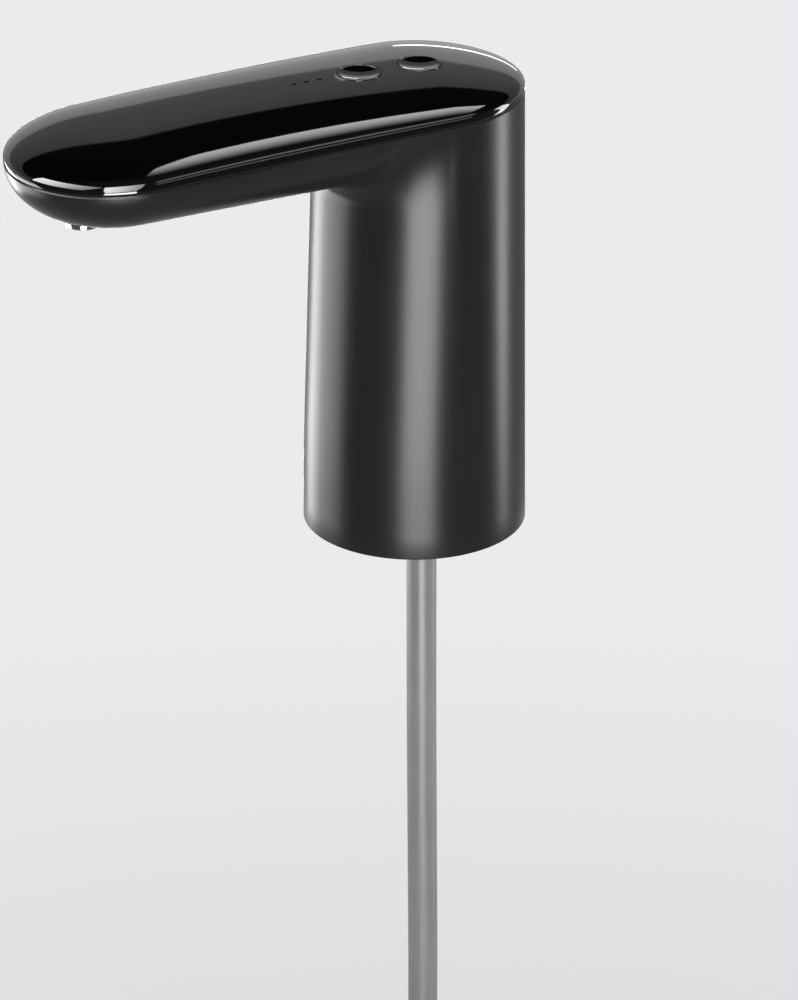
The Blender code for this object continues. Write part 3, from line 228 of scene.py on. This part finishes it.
def hose_silicone():
    finish = Finish("hose_silicone")
    lines = finish.noise(0.0007, squash=(1, 1, 0.02))
    cloud = finish.noise(0.02)
    colour = finish.mix(lines * 0.6 + cloud * 0.4, (0.1, 0.102, 0.105), (0.17, 0.172, 0.177))
    return finish.surface(colour, 0.3 + lines * 0.12, lines, 0.00006)


hose_line = bpy.data.curves.new("suction_hose", "CURVE")
hose_line.dimensions = "3D"
hose_line.bevel_depth = hose_radius
hose_line.bevel_resolution = 10
hose_line.use_fill_caps = True
hose_points = smooth_path(hose_route, 6)
spline = hose_line.splines.new("POLY")
spline.points.add(len(hose_points) - 1)
for point, place in zip(spline.points, hose_points):
    point.co = (*place, 1)
silicone = hose_silicone()
hose_line.materials.append(silicone)
hose = bpy.data.objects.new("suction_hose", hose_line)
bpy.context.scene.collection.objects.link(hose)
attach(hose, "root")
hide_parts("hose")


# The strainer at the hose's foot is moulded in black plastic, with slots that keep the hose open.
# The cuff is a short sleeve of the hose's own silicone that keeps it tight on its spigot.
wide_steps = 96
weld_distance = 0.000001


def ring_mesh(name, rings, closed=False):
    """Faces between rings of points, each going anticlockwise from above, in order down."""
    bm = bmesh.new()
    rows = [[bm.verts.new(point) for point in ring] for ring in rings]
    if closed:
        rows.append(rows[0])
    count = len(rings[0])
    for upper, lower in zip(rows, rows[1:]):
        for j in range(count):
            k = (j + 1) % count
            bm.faces.new((upper[j], lower[j], lower[k], upper[k]))
    bmesh.ops.remove_doubles(bm, verts=bm.verts, dist=weld_distance)
    mesh = bpy.data.meshes.new(name)
    bm.to_mesh(mesh)
    bm.free()
    return mesh


def turned_mesh(name, profile, place=(0, 0), steps=wide_steps):
    """A turned form about the vertical through place, from points that run down its outer side."""
    angles = [2 * math.pi * i / steps for i in range(steps)]
    x, y = place
    rings = [[Vector((x + r * math.cos(a), y + r * math.sin(a), z)) for a in angles] for r, z in profile]
    return ring_mesh(name, rings, closed=profile[0][0] > 0)


def rounded(profile, corners):
    """Round chosen corners of a profile, given as {point number: radius}."""
    result = []
    for i, point in enumerate(profile):
        if i not in corners:
            result.append(point)
            continue
        corner = Vector(point)
        before = (Vector(profile[i - 1]) - corner).normalized() * corners[i]
        after = (Vector(profile[(i + 1) % len(profile)]) - corner).normalized() * corners[i]
        for k in range(7):
            t = k / 6
            result.append(tuple(corner + before * (1 - t) ** 2 + after * t * t))
    return result


def cut(mesh, tool, operation="DIFFERENCE"):
    """Cut one mesh from another or join it on, and return the result."""
    target = bpy.data.objects.new("target", mesh)
    other = bpy.data.objects.new("tool", tool)
    for item in (target, other):
        bpy.context.scene.collection.objects.link(item)
    modifier = target.modifiers.new("cut", "BOOLEAN")
    modifier.operation = operation
    modifier.solver = "EXACT"
    modifier.object = other
    bpy.context.view_layer.update()
    graph = bpy.context.evaluated_depsgraph_get()
    result = bpy.data.meshes.new_from_object(target.evaluated_get(graph))
    result.name = mesh.name
    for item in (target, other):
        bpy.data.objects.remove(item)
    return result


def box_mesh(name, low, high, turn=0.0, place=(0, 0, 0)):
    """A box between two corners, turned about the vertical and then set in place."""
    low = Vector(low)
    high = Vector(high)
    bm = bmesh.new()
    matrix = Matrix.Translation(place) @ Matrix.Rotation(turn, 4, "Z")
    matrix = matrix @ Matrix.Translation((low + high) / 2) @ Matrix.Diagonal((*(high - low), 1))
    bmesh.ops.create_cube(bm, size=1, matrix=matrix)
    mesh = bpy.data.meshes.new(name)
    bm.to_mesh(mesh)
    bm.free()
    return mesh


def moulded_black():
    finish = Finish("moulded_black")
    grain = finish.noise(0.0003)
    cloud = finish.noise(0.012)
    colour = finish.mix(cloud, (0.013, 0.013, 0.0135), (0.024, 0.024, 0.025))
    return finish.surface(colour, 0.42 + grain * 0.16, grain, 0.00003)


black_plastic = moulded_black()
foot_low, foot_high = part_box("intake_foot")
foot_radius = (foot_high.x - foot_low.x) / 2
foot_place = ((foot_low.x + foot_high.x) / 2, (foot_low.y + foot_high.y) / 2)
slot_width = 0.0018
slot_height = 0.012
foot_edge = 0.0018
bore_radius = 0.9 * hose_radius
bore_depth = 0.018
profile = [(0, foot_high.z), (hose_radius, foot_high.z), (foot_radius, foot_high.z - 2 * foot_edge),
           (foot_radius, foot_low.z + foot_edge), (foot_radius - foot_edge, foot_low.z), (0, foot_low.z)]
foot_mesh = turned_mesh("strainer_foot", rounded(profile, {2: 0.0008, 3: 0.0006, 4: 0.0006}), foot_place)
bore = [(0, foot_low.z + bore_depth), (bore_radius, foot_low.z + bore_depth),
        (bore_radius, foot_low.z - foot_edge), (0, foot_low.z - foot_edge)]
foot_mesh = cut(foot_mesh, turned_mesh("bore", bore, foot_place, 48))
for i in range(3):
    slot = box_mesh("slot", (-2 * foot_radius, -slot_width / 2, -slot_height),
                    (2 * foot_radius, slot_width / 2, slot_height), math.pi * i / 3,
                    (*foot_place, foot_low.z))
    foot_mesh = cut(foot_mesh, slot)
strainer = add_piece("strainer_foot", foot_mesh, black_plastic)
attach(strainer, "root")
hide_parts("intake_foot")

cuff_low, cuff_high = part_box("hose_cuff")
cuff_radius = (cuff_high.x - cuff_low.x) / 2
cuff_bore = hose_radius + 0.0001
cuff_place = ((cuff_low.x + cuff_high.x) / 2, 0)
profile = [(cuff_bore, cuff_high.z), (cuff_radius, cuff_high.z), (cuff_radius, cuff_low.z),
           (cuff_bore, cuff_low.z)]
cuff_mesh = turned_mesh("silicone_cuff", rounded(profile, {1: 0.0003, 2: 0.0003}), cuff_place)
cuff = add_piece("silicone_cuff", cuff_mesh, silicone)
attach(cuff, "root")
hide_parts("hose_cuff")


# The base cup, its neck sleeve and its seat pad close the foot of the column. The cup is black
# moulded plastic, the sleeve and pad are rubber, and three steel screws hold the cup.
def moulded_rubber(name, dark, light):
    finish = Finish(name)
    grain = finish.noise(0.0004, 3)
    dust = finish.noise(0.006, 4)
    colour = finish.mix(dust, dark, light)
    return finish.surface(colour, 0.62 + grain * 0.2, grain, 0.00004)


def turned_steel(name, dark, light, roughness):
    finish = Finish(name)
    brush = finish.noise(0.00025, 3, (1, 1, 0.08))
    smear = finish.noise(0.004)
    colour = finish.mix(brush * 0.5 + smear * 0.5, dark, light)
    return finish.surface(colour, roughness + smear * 0.12, brush, 0.00001, Metallic=1.0)


rubber = moulded_rubber("moulded_rubber", (0.016, 0.016, 0.017), (0.034, 0.034, 0.035))
screw_steel = turned_steel("screw_steel", (0.5, 0.5, 0.51), (0.68, 0.68, 0.69), 0.2)
dress(["base_cup"], black_plastic)
dress(["neck_gasket", "seat_pad"], rubber)
dress(["base_screw_1", "base_screw_2", "base_screw_3"], screw_steel)


# The deck carries the pump: a diaphragm head with its valves under a drum, in white moulded
# plastic, held together by three long screws. The crank in the drum rocks the wobble plate.
def moulded_white():
    finish = Finish("moulded_white")
    grain = finish.noise(0.0004)
    cloud = finish.noise(0.01)
    colour = finish.mix(cloud, (0.68, 0.68, 0.66), (0.78, 0.78, 0.76))
    return finish.surface(colour, 0.38 + grain * 0.14, grain, 0.00003)


white_plastic = moulded_white()
dress(["deck", "pump_head", "valve_plate", "drive_case", "eccentric", "wobble_plate"], white_plastic)
dress(["valve_sheet", "diaphragm"], rubber)
dress(["deck_screw_1", "deck_screw_2", "pump_screw_1", "pump_screw_2", "pump_screw_3", "crank_pin"],
      screw_steel)

# The motor is a drawn steel can with a plastic end cap, bronze bushes, ferrite magnets, a rotor
# of steel sheets and copper brushes, and it stands on the drum.
drawn_steel = turned_steel("drawn_steel", (0.4, 0.4, 0.41), (0.54, 0.54, 0.55), 0.3)
dress(["motor_can", "motor_shaft", "rotor_core"], drawn_steel)
dress(["motor_end_cap"], black_plastic)
dress(["brush_1", "brush_2", "commutator"], turned_steel("rolled_copper", (0.6, 0.3, 0.17),
                                                         (0.78, 0.42, 0.25), 0.25))
dress(["front_bush", "rear_bush"], turned_steel("sintered_bronze", (0.42, 0.3, 0.13),
                                                (0.56, 0.42, 0.2), 0.35))
dress(["magnet_1", "magnet_2"], moulded_rubber("ferrite", (0.035, 0.035, 0.038), (0.07, 0.07, 0.075)))


# The round cell in its printed sleeve sits in an open tray between two steel contacts, and the
# charging board stands beside it with the socket behind the port.
def shrunk_sleeve():
    finish = Finish("shrunk_sleeve")
    wrinkle = finish.noise(0.003, 2, (1, 1, 0.15))
    colour = finish.mix(wrinkle, (0.02, 0.09, 0.28), (0.04, 0.15, 0.42))
    return finish.surface(colour, 0.22 + wrinkle * 0.15, wrinkle, 0.00005)


def solder_mask():
    finish = Finish("solder_mask")
    weave = finish.noise(0.0006, 3)
    colour = finish.mix(weave, (0.012, 0.085, 0.035), (0.03, 0.15, 0.065))
    return finish.surface(colour, 0.28 + weave * 0.15, weave, 0.00002)


dress(["battery"], shrunk_sleeve())
dress(["battery_tray", "switch_1", "switch_2"], black_plastic)
dress(["contact_plus", "contact_minus", "charge_socket", "board_screw_1", "board_screw_2"], screw_steel)
dress(["charge_board", "control_board"], solder_mask())
dress(["switch_plunger_1", "switch_plunger_2"], white_plastic)


# Silicone tubes carry the water up the column and along the arm, and leads join the motor, the
# cell and the charging board to the control board.
def clear_silicone():
    finish = Finish("clear_silicone")
    cloud = finish.noise(0.004)
    colour = finish.mix(cloud, (0.64, 0.66, 0.67), (0.76, 0.78, 0.79))
    return finish.surface(colour, 0.22 + cloud * 0.12, cloud, 0.00004)


def lead_sleeve(name, dark, light):
    finish = Finish(name)
    grain = finish.noise(0.0015)
    colour = finish.mix(grain, dark, light)
    return finish.surface(colour, 0.36 + grain * 0.14, grain, 0.00002)


dress(["inlet_tube", "outlet_tube"], clear_silicone())
dress(["motor_lead", "charge_lead"], lead_sleeve("red_lead_sleeve", (0.4, 0.012, 0.012), (0.56, 0.03, 0.03)))
dress(["battery_lead"], lead_sleeve("black_lead_sleeve", (0.016, 0.016, 0.017), (0.03, 0.03, 0.031)))


# The housing is one moulding in satin gun-metal lacquer: the round column, and the arm's hull
# that flows out of its top. It is open under the cover and at its foot.
head_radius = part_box("top_cover")[1].y
head_reach = -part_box("top_cover")[0].x - head_radius
parting_height = 0.1125
parting_fall_share = 0.0335
neck_overlap = -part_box("housing")[0].z
base_top = 0.005
front_lean = 0.0026
section_power = 2.4
hull_depth = 0.0201
hull_tip_depth = 0.0173
shell_wall = 0.0022
gap = 0.0003
arm_fillet = 0.005
side_blend = 0.018
rim_chamfer = 0.0005
foot_edge_radius = 0.0004
back_steps = 56
side_steps = 36
side_crowding = 1.35
tip_steps = 48
hull_rows = 44
underside_steps = 80
fillet_steps = 24
turn_weight = 0.012
column_rows = 14


def head_stations():
    """Spine place and outward direction of each point of the outline, going anticlockwise."""
    side_places = [-head_reach * (i / side_steps) ** side_crowding for i in range(side_steps + 1)]
    stations = []
    for i in range(back_steps):
        angle = math.pi * (i / back_steps - 0.5)
        stations.append((0, math.cos(angle), math.sin(angle)))
    for i in range(side_steps):
        stations.append((side_places[i], 0, 1))
    for i in range(tip_steps):
        angle = math.pi * (i / tip_steps + 0.5)
        stations.append((-head_reach, math.cos(angle), math.sin(angle)))
    for i in range(side_steps, 0, -1):
        stations.append((side_places[i], 0, -1))
    return stations


def parting_z(x):
    return parting_height + parting_fall_share * x


def section_share(x, y):
    """Height of the rounded cross section at a place, as a share of its height on the spine."""
    nearest = min(max(x, -head_reach), 0)
    share = min(math.hypot(x - nearest, y) / head_radius, 1)
    return math.sqrt(1 - share ** section_power)


def hull_z(x, y):
    """Underside of the arm."""
    along = min(max(-x / head_reach, 0), 1)
    depth = hull_depth + (hull_tip_depth - hull_depth) * along
    return parting_z(x) - depth * section_share(x, y)


def column_radius(z, forward=0.0):
    """The column's radius at a height. Its front, where forward is 1, leans in above the base."""
    share = (z + neck_overlap) / (parting_height + neck_overlap)
    lean = max(z - base_top, 0) / (parting_height - base_top)
    return rim_radius + (head_radius - rim_radius) * share - front_lean * lean * max(forward, 0)


def round_corner(profile, size, end):
    """Replace the corner at the end of the hull line by a fillet that runs into the column."""
    corner = profile[-1]
    kept = list(profile)
    left = size
    while len(kept) > 1 and (kept[-1] - kept[-2]).length < left:
        left -= (kept[-1] - kept[-2]).length
        kept.pop()
    start = kept.pop()
    if kept:
        start = start.lerp(kept[-1], left / (start - kept[-1]).length)
    for i in range(fillet_steps + 1):
        t = i / fillet_steps
        kept.append(start * (1 - t) ** 2 + corner * 2 * t * (1 - t) + end * t * t)
    return kept


def spread(profile, rows):
    """Points along a profile, closer where it turns."""
    weight = [0]
    for i in range(1, len(profile)):
        step = profile[i] - profile[i - 1]
        turn = 0
        if i > 1 and step.length > 0 and (profile[i - 1] - profile[i - 2]).length > 0:
            turn = step.angle(profile[i - 1] - profile[i - 2])
        weight.append(weight[-1] + step.length + turn_weight * turn)
    result = []
    at = 0
    for k in range(rows + 1):
        want = weight[-1] * k / rows
        while at < len(profile) - 2 and weight[at + 1] < want:
            at += 1
        share = (want - weight[at]) / (weight[at + 1] - weight[at])
        result.append(profile[at].lerp(profile[at + 1], min(max(share, 0), 1)))
    return result


def meridian(edge):
    """Outer surface from a parting point, in under the arm and down the column to the rim."""
    reach = edge.length
    side = edge / reach

    def under(radius):
        return hull_z(side.x * radius, side.y * radius)

    def column(height):
        return Vector((column_radius(height, -side.x), height))

    profile = [Vector((reach, parting_z(edge.x)))]
    if reach > column(parting_z(edge.x)).x + gap:
        low = head_radius / 2
        high = reach
        for _ in range(40):
            corner = (low + high) / 2
            if corner < column(under(corner)).x:
                low = corner
            else:
                high = corner
        for i in range(1, underside_steps + 1):
            angle = math.pi / 2 * i / underside_steps
            radius = reach - (reach - corner) * (1 - math.cos(angle))
            profile.append(Vector((radius, under(radius))))
        nearness = (head_radius / reach) ** 2
        blend = arm_fillet + (side_blend - arm_fillet) * nearness
        profile = round_corner(profile, blend, column(profile[-1].y - blend))
    split = column(parting_height - hull_depth - side_blend)
    profile.append(split)
    points = spread(profile, hull_rows)
    for i in range(1, column_rows + 1):
        points.append(column(split.y + (-neck_overlap - split.y) * i / column_rows))
    return points


def shell_section(edge):
    """The shell's whole section at one place of the outline: outside, foot, inside and rim."""
    side = edge.normalized()
    outside = meridian(edge)
    inside = []
    for i, point in enumerate(outside):
        along = outside[min(i + 1, len(outside) - 1)] - outside[max(i - 1, 0)]
        across = Vector((along.y, -along.x)).normalized()
        inside.append(point + across * shell_wall)
    inside[0] = Vector((outside[0].x - shell_wall, outside[0].y))
    top = outside[0]
    outside[0] = Vector((top.x, top.y - rim_chamfer))
    foot = outside.pop()
    for k in range(5):
        t = k / 4
        outside.append(Vector((foot.x - foot_edge_radius * t * t,
                               foot.y + foot_edge_radius * (1 - t) ** 2)))
    section = [Vector((top.x - rim_chamfer, top.y))] + outside + inside[::-1]
    return [Vector((side.x * point.x, side.y * point.x, point.y)) for point in section]


def satin_lacquer():
    """Dark metallic lacquer: fine flake under a satin top coat, with a trace of orange peel."""
    finish = Finish("satin_lacquer")
    flake = finish.noise(0.00022, 2)
    cloud = finish.noise(0.03, 2)
    peel = finish.noise(0.0016, 1)
    colour = finish.mix(flake * 0.6 + cloud * 0.4, (0.008, 0.0081, 0.0085), (0.017, 0.0172, 0.018))
    roughness = 0.25 + flake * 0.05 + cloud * 0.04
    return finish.surface(colour, roughness, peel, 0.000004,
                          **{"Metallic": 0.3, "Specular IOR Level": 0.24})


sections = [shell_section(Vector((x + head_radius * ux, head_radius * uy))) for x, ux, uy in head_stations()]
shell_rings = [[section[i] for section in sections] for i in range(len(sections[0]))]
shell_mesh = ring_mesh("housing_shell", shell_rings, closed=True)

spout_reach = 0.1045
boss_radius = 0.0062
boss_height = 0.0052
boss_drop = 0.0008
spout_hole = 0.0043
overrun = 0.002
spout_place = (-spout_reach, 0)
low = hull_z(-spout_reach, 0) - boss_drop
high = low + boss_height
profile = rounded([(0, high), (boss_radius, high), (boss_radius, low), (0, low)], {2: 0.0004})
shell_mesh = cut(shell_mesh, turned_mesh("boss", profile, spout_place, 72), "UNION")
profile = [(0, high + overrun), (spout_hole, high + overrun), (spout_hole, low - overrun),
           (0, low - overrun)]
shell_mesh = cut(shell_mesh, turned_mesh("hole", profile, spout_place, 64))

port_height = 0.048
recess_width = 0.0150
recess_height = 0.0090
recess_depth = 0.0012
mouth_width = 0.0096
mouth_height = 0.0040
port_outer = column_radius(port_height)
low = port_height - recess_height / 2
high = port_height + recess_height / 2
profile = [(port_outer - recess_depth, high), (port_outer + overrun, high), (port_outer + overrun, low),
           (port_outer - recess_depth, low)]
window = box_mesh("window", (0, -recess_width / 2, low - overrun),
                  (port_outer + 2 * overrun, recess_width / 2, high + overrun))
shell_mesh = cut(shell_mesh, cut(turned_mesh("recess", profile, steps=160), window, "INTERSECT"))
mouth = box_mesh("mouth", (-shell_wall - overrun, -mouth_width / 2, -mouth_height / 2),
                 (overrun, mouth_width / 2, mouth_height / 2), place=(port_outer, 0, port_height))
shell_mesh = cut(shell_mesh, mouth)
housing = add_piece("housing_shell", shell_mesh, satin_lacquer())
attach(housing, "root")
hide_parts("housing")


# The rubber flap lies in the port's recess, flush with the column, and swings down on its lower
# edge. The spout's ring is polished steel, with the tube's black nozzle inside it.
dress(["port_flap"], moulded_rubber("flap_rubber", (0.008, 0.008, 0.0085), (0.017, 0.017, 0.018)))


def polished_steel():
    finish = Finish("polished_steel")
    smear = finish.noise(0.002)
    colour = finish.mix(smear, (0.72, 0.72, 0.73), (0.84, 0.84, 0.85))
    return finish.surface(colour, 0.06 + smear * 0.08, smear, 0.000005, Metallic=1.0)


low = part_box("spout_ring")[0].z
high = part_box("spout_ring")[1].z
ring_bore = 0.0030
ring_neck = 0.0039
ring_flange = 0.0050
flange_top = low + 0.0016
profile = [(ring_bore, high), (ring_neck, high), (ring_neck, flange_top), (ring_flange, flange_top),
           (ring_flange, low), (ring_bore, low)]
trim_mesh = turned_mesh("spout_trim", rounded(profile, {3: 0.0002, 4: 0.0004, 5: 0.0004}), spout_place, 72)
spout_trim = add_piece("spout_trim", trim_mesh, polished_steel())
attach(spout_trim, "root")
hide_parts("spout_ring")
dress(["spout_nozzle"], black_plastic)


# The top cover is piano-black: a crowned lid over the whole head, polished to a mirror. Its edge
# is rolled, and it has two round wells for the buttons and three pin holes for the lights.
crown_back_height = 0.0044
crown_tip_height = 0.0059
crown_arch = 0.0034
cover_wall = 0.0018
cover_edge = 0.0008
lip_outer = shell_wall + 0.0012
lip_inner = lip_outer + 0.0012
lip_depth = 0.0022
crown_rows = 36
roof_rows = 12
button_radius = 0.0062
button_places = (0.0014, -0.0178)
light_places = (-0.0304, -0.0344, -0.0384)
well_round = 0.0003
well_depth = 0.008
pin_radius = 0.0008
pin_depth = 0.004
edge_round = 0.0004
seam = 0.0001


def cover_z(x, y):
    """Top of the cover, which also arches a little from its back end to its tip."""
    along = (head_radius - x) / (head_reach + 2 * head_radius)
    crown = crown_back_height + (crown_tip_height - crown_back_height) * along
    crown += 4 * crown_arch * along * (1 - along)
    return parting_z(x) + gap + cover_edge + crown * section_share(x, y)


def cover_ring(inset, height):
    """One ring of the cover: an inset from the outline, and a height as a function of place."""
    ring = []
    for x, ux, uy in head_stations():
        px = x + (head_radius - inset) * ux
        py = (head_radius - inset) * uy
        ring.append(Vector((px, py, height(px, py))))
    return ring


def crown_tilt(x):
    """Slope of the cover along its spine."""
    step = head_radius / 100
    return math.atan2(cover_z(x + step, 0) - cover_z(x - step, 0), 2 * step)


def on_crown(mesh, x):
    """Set a form that was made about the origin square on the cover's spine."""
    mesh.transform(Matrix.Translation((x, 0, cover_z(x, 0))) @ Matrix.Rotation(-crown_tilt(x), 4, "Y"))
    return mesh


def piano_black():
    """Black plastic polished to a mirror, with the faintest haze of handling in its gloss."""
    finish = Finish("piano_black")
    haze = finish.noise(0.012, 3)
    fine = finish.noise(0.0009, 2)
    colour = finish.mix(haze, (0.0018, 0.0018, 0.002), (0.0034, 0.0034, 0.0037))
    return finish.surface(colour, 0.03 + haze * 0.03, fine, 0.0000004)


rings = []
for i in range(crown_rows + 1):
    rings.append(cover_ring(head_radius * (1 - math.sin(math.pi / 2 * i / crown_rows)), cover_z))
for k in range(1, 6):
    t = k / 5
    rings.append(cover_ring(edge_round * t * t,
                            lambda x, y: parting_z(x) + seam + edge_round * (1 - t) ** 2))
rings.append(cover_ring(lip_outer, lambda x, y: parting_z(x) + seam))
rings.append(cover_ring(lip_outer, lambda x, y: parting_z(x) - lip_depth))
rings.append(cover_ring(lip_inner, lambda x, y: parting_z(x) - lip_depth))
for i in range(roof_rows):
    inset = head_radius - (head_radius - lip_inner) * math.cos(math.pi / 2 * i / roof_rows)
    rings.append(cover_ring(inset, lambda x, y: cover_z(x, y) - cover_wall))
rings.append(cover_ring(head_radius, lambda x, y: cover_z(x, y) - cover_wall))
cover_mesh = ring_mesh("gloss_cover", rings)
for x in button_places:
    hole = button_radius + gap
    profile = [(0, overrun), (hole + well_round, overrun), (hole + well_round, 0)]
    for k in range(1, 7):
        t = k / 6
        profile.append((hole + well_round * (1 - t) ** 2, -well_round * t * t))
    profile += [(hole, -well_depth), (0, -well_depth)]
    cover_mesh = cut(cover_mesh, on_crown(turned_mesh("well", profile), x))
for x in light_places:
    profile = [(0, overrun), (pin_radius, overrun), (pin_radius, -pin_depth), (0, -pin_depth)]
    cover_mesh = cut(cover_mesh, on_crown(turned_mesh("pin_hole", profile, steps=24), x))
gloss = piano_black()
cover = add_piece("gloss_cover", cover_mesh, gloss)
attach(cover, "root")
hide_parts("top_cover")


# The two buttons are dished discs in the same gloss, each on its own switch. The light guide is
# smoked, so its three pins look dark when the lights are off.
def smoked_lens():
    finish = Finish("smoked_lens")
    cloud = finish.noise(0.0008)
    colour = finish.mix(cloud, (0.002, 0.002, 0.002), (0.005, 0.005, 0.005))
    return finish.surface(colour, 0.3 + cloud * 0.1, cloud, 0.000005, **{"Specular IOR Level": 0.15})


dress(["light_guide"], smoked_lens())
button_dish = 0.0008
dish_steps = 16
dish_radius = 0.0059
key_radius = 0.00635
key_depth = 0.0022
corner_width = 0.0001
corner_fall = 0.00005
corner_drop = 0.0003
flange_radius = 0.0074
flange_low = -0.003
stem_radius = 0.0022
for name, cad_name, x in (("power_key", "power_button", button_places[0]),
                          ("dispense_key", "dispense_button", button_places[1])):
    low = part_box(cad_name)[0].z - cover_z(x, 0)
    profile = []
    for i in range(dish_steps + 1):
        share = i / dish_steps
        profile.append((dish_radius * share, -button_dish * (1 - share ** 2)))
    profile += [(key_radius - corner_width, -corner_fall), (key_radius, -corner_drop),
                (key_radius, -key_depth), (flange_radius, -key_depth), (flange_radius, flange_low),
                (stem_radius, flange_low), (stem_radius, low), (0, low)]
    mesh = turned_mesh(name, profile)
    mesh.transform(Matrix.Translation((x, 0, cover_z(x, 0))))
    key = add_piece(name, mesh, gloss)
    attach(key, cad_name)
    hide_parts(cad_name)


# The stage is a pale floor and a studio: a pale wall behind the pump, a dim room in front of it,
# and softboxes to the left, to the right, in front and overhead. None of it belongs to the pump.
pale = (0.82, 0.83, 0.85)
wall_top = math.sin(math.radians(17))
band_top = math.sin(math.radians(33))
wall_edge = 0.015
band_edge = 0.01
floor_radius = 0.9
floor_level = cad_low.z - gap
wall_glow = 0.95
high_wall_glow = 0.44
low_wall_share = 0.35
room_glow = 0.1
pump_middle = Vector((-0.02, 0, 0.06))


def seen(finish, reflected):
    """1 for rays from the camera, and a share of that for its rays off a mirror or through glass."""
    rays = finish.node("ShaderNodeLightPath")
    return rays[0] + (rays[3] + rays[6]) * reflected


def studio_floor():
    finish = Finish("studio_floor")
    cloud = finish.noise(0.4)
    finish.surface(finish.mix(cloud, (0.2, 0.2, 0.2), (0.24, 0.24, 0.24)), 0.9)
    radius = finish.node("ShaderNodeVectorMath", {"operation": "LENGTH"}, {0: finish.place()})[1]
    outer = finish.range(radius, floor_radius * 0.4, floor_radius * 0.95, 0.85, 1.0)
    back = finish.node("ShaderNodeVectorMath", {"operation": "DOT_PRODUCT"},
                       {0: finish.place(), 1: tuple(-towards_camera)})[1]
    pale_back = finish.range(back, floor_radius * 0.3, floor_radius, 0.25, 1.0)
    glow = finish.node("ShaderNodeEmission", None, {"Color": pale})[0]
    paint = Wire(finish, finish.tree.nodes["Principled BSDF"].outputs[0])
    share = seen(finish, pale_back) * outer
    finish.show(finish.node("ShaderNodeMixShader", None, {0: share, 1: paint, 2: glow})[0])
    return finish.material


bm = bmesh.new()
bmesh.ops.create_circle(bm, cap_ends=True, segments=128, radius=floor_radius)
floor_mesh = bpy.data.meshes.new("studio_floor")
bm.to_mesh(floor_mesh)
bm.free()
floor_mesh.materials.append(studio_floor())
floor = bpy.data.objects.new("studio_floor", floor_mesh)
floor.location = (0, 0, floor_level)
bpy.context.scene.collection.objects.link(floor)
floor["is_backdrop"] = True

bpy.context.scene.view_settings.view_transform = "Standard"
world = bpy.data.worlds.new("studio")
bpy.context.scene.world = world
world.use_nodes = True
studio = Finish("studio", world.node_tree)
direction = studio.node("ShaderNodeTexCoord")[0]
height = studio.node("ShaderNodeSeparateXYZ", None, {0: direction})[2]
behind = studio.node("ShaderNodeVectorMath", {"operation": "DOT_PRODUCT"},
                     {0: direction, 1: tuple(-towards_camera)})[1]
back_share = studio.range(behind, -0.15, 0.25)
above_floor = studio.range(height, -0.2, -0.05)
below_top = studio.range(height, wall_top - wall_edge, wall_top + wall_edge, 1.0, 0.0)
below_band = studio.range(height, band_top - band_edge, band_top + band_edge, 1.0, 0.04)
wall = below_top * (wall_glow - high_wall_glow) + high_wall_glow
wall = wall * (above_floor * (1 - low_wall_share) + low_wall_share) * below_band
room = wall * back_share + room_glow * (1 - back_share)
pale_wall = below_top * above_floor * back_share
backdrop = studio.node("ShaderNodeBackground", None, {"Color": pale})[0]
dim = studio.node("ShaderNodeBackground", None, {"Strength": room})[0]
share = seen(studio, pale_wall)
studio.show(studio.node("ShaderNodeMixShader", None, {0: share, 1: dim, 2: backdrop})[0])


def softbox(name, bearing, climb, distance, width, tall, radiance, lean=0, fade=None):
    """A soft lamp seen from the pump at a bearing to the camera's right, and at a climb over level.

    It can lean in its own plane, and fade over its width from one share of its radiance to another.
    One that fades only shows in the gloss, and adds no light to the rest.
    """
    bearing = math.radians(bearing)
    climb = math.radians(climb)
    level = towards_camera * math.cos(bearing) + screen_right * math.sin(bearing)
    way = level * math.cos(climb) + Vector((0, 0, math.sin(climb)))
    lamp = bpy.data.lights.new(name, "AREA")
    lamp.shape = "RECTANGLE"
    lamp.size = width
    lamp.size_y = tall
    lamp.energy = radiance * 4 * width * tall
    if fade:
        lamp.use_nodes = True
        finish = Finish(name, lamp.node_tree)
        across = finish.node("ShaderNodeSeparateXYZ", None, {0: finish.node("ShaderNodeNewGeometry")[5]})[0]
        share = finish.range(across, 0, 1, *fade)
        finish.feed(lamp.node_tree.nodes["Emission"], {"Color": share})
    box = bpy.data.objects.new(name, lamp)
    box.location = pump_middle + way * distance
    upright = way.to_track_quat("Z", "Y")
    box.rotation_euler = (upright @ Quaternion((0, 0, 1), math.radians(lean))).to_euler()
    box.visible_camera = False
    box.visible_diffuse = fade is None
    bpy.context.scene.collection.objects.link(box)


# Seen along the column and in the arm's underside: in front, to the left and to the right.
softbox("front_strip", 4, -17.5, 1.4, 0.76, 0.48, 20)
softbox("left_box", -130, -20, 0.8, 0.32, 0.3, 6.3)
softbox("left_fill", -98, -20, 0.8, 0.44, 0.3, 5)
softbox("right_strip", 101.5, 3, 0.8, 0.2, 0.9, 9.5)
# Seen in the cover's near side: the long highlight, and the two fine lines between it and the seam.
softbox("top_panel", 125.4, 69.4, 0.8, 0.36, 0.35, 5.6, -33, (0, 1))
softbox("side_high", 62, 53, 0.8, 0.38, 0.1, 1.8)
softbox("side_low", 51, 36, 0.8, 0.33, 0.12, 1.2)
# Seen at the tip, and along the far side and the back end.
softbox("tip_left", -68, 44.5, 0.8, 0.72, 0.42, 10, 10, (1.3, 0.4))
softbox("tip_front", 2, 31, 0.8, 0.46, 0.88, 10, 0, (1.5, 0.5))
softbox("back_line", 172, 9, 0.8, 0.22, 0.022, 4.5)
softbox("back_fill", 180, -24, 1.2, 0.4, 0.3, 6)

low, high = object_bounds()
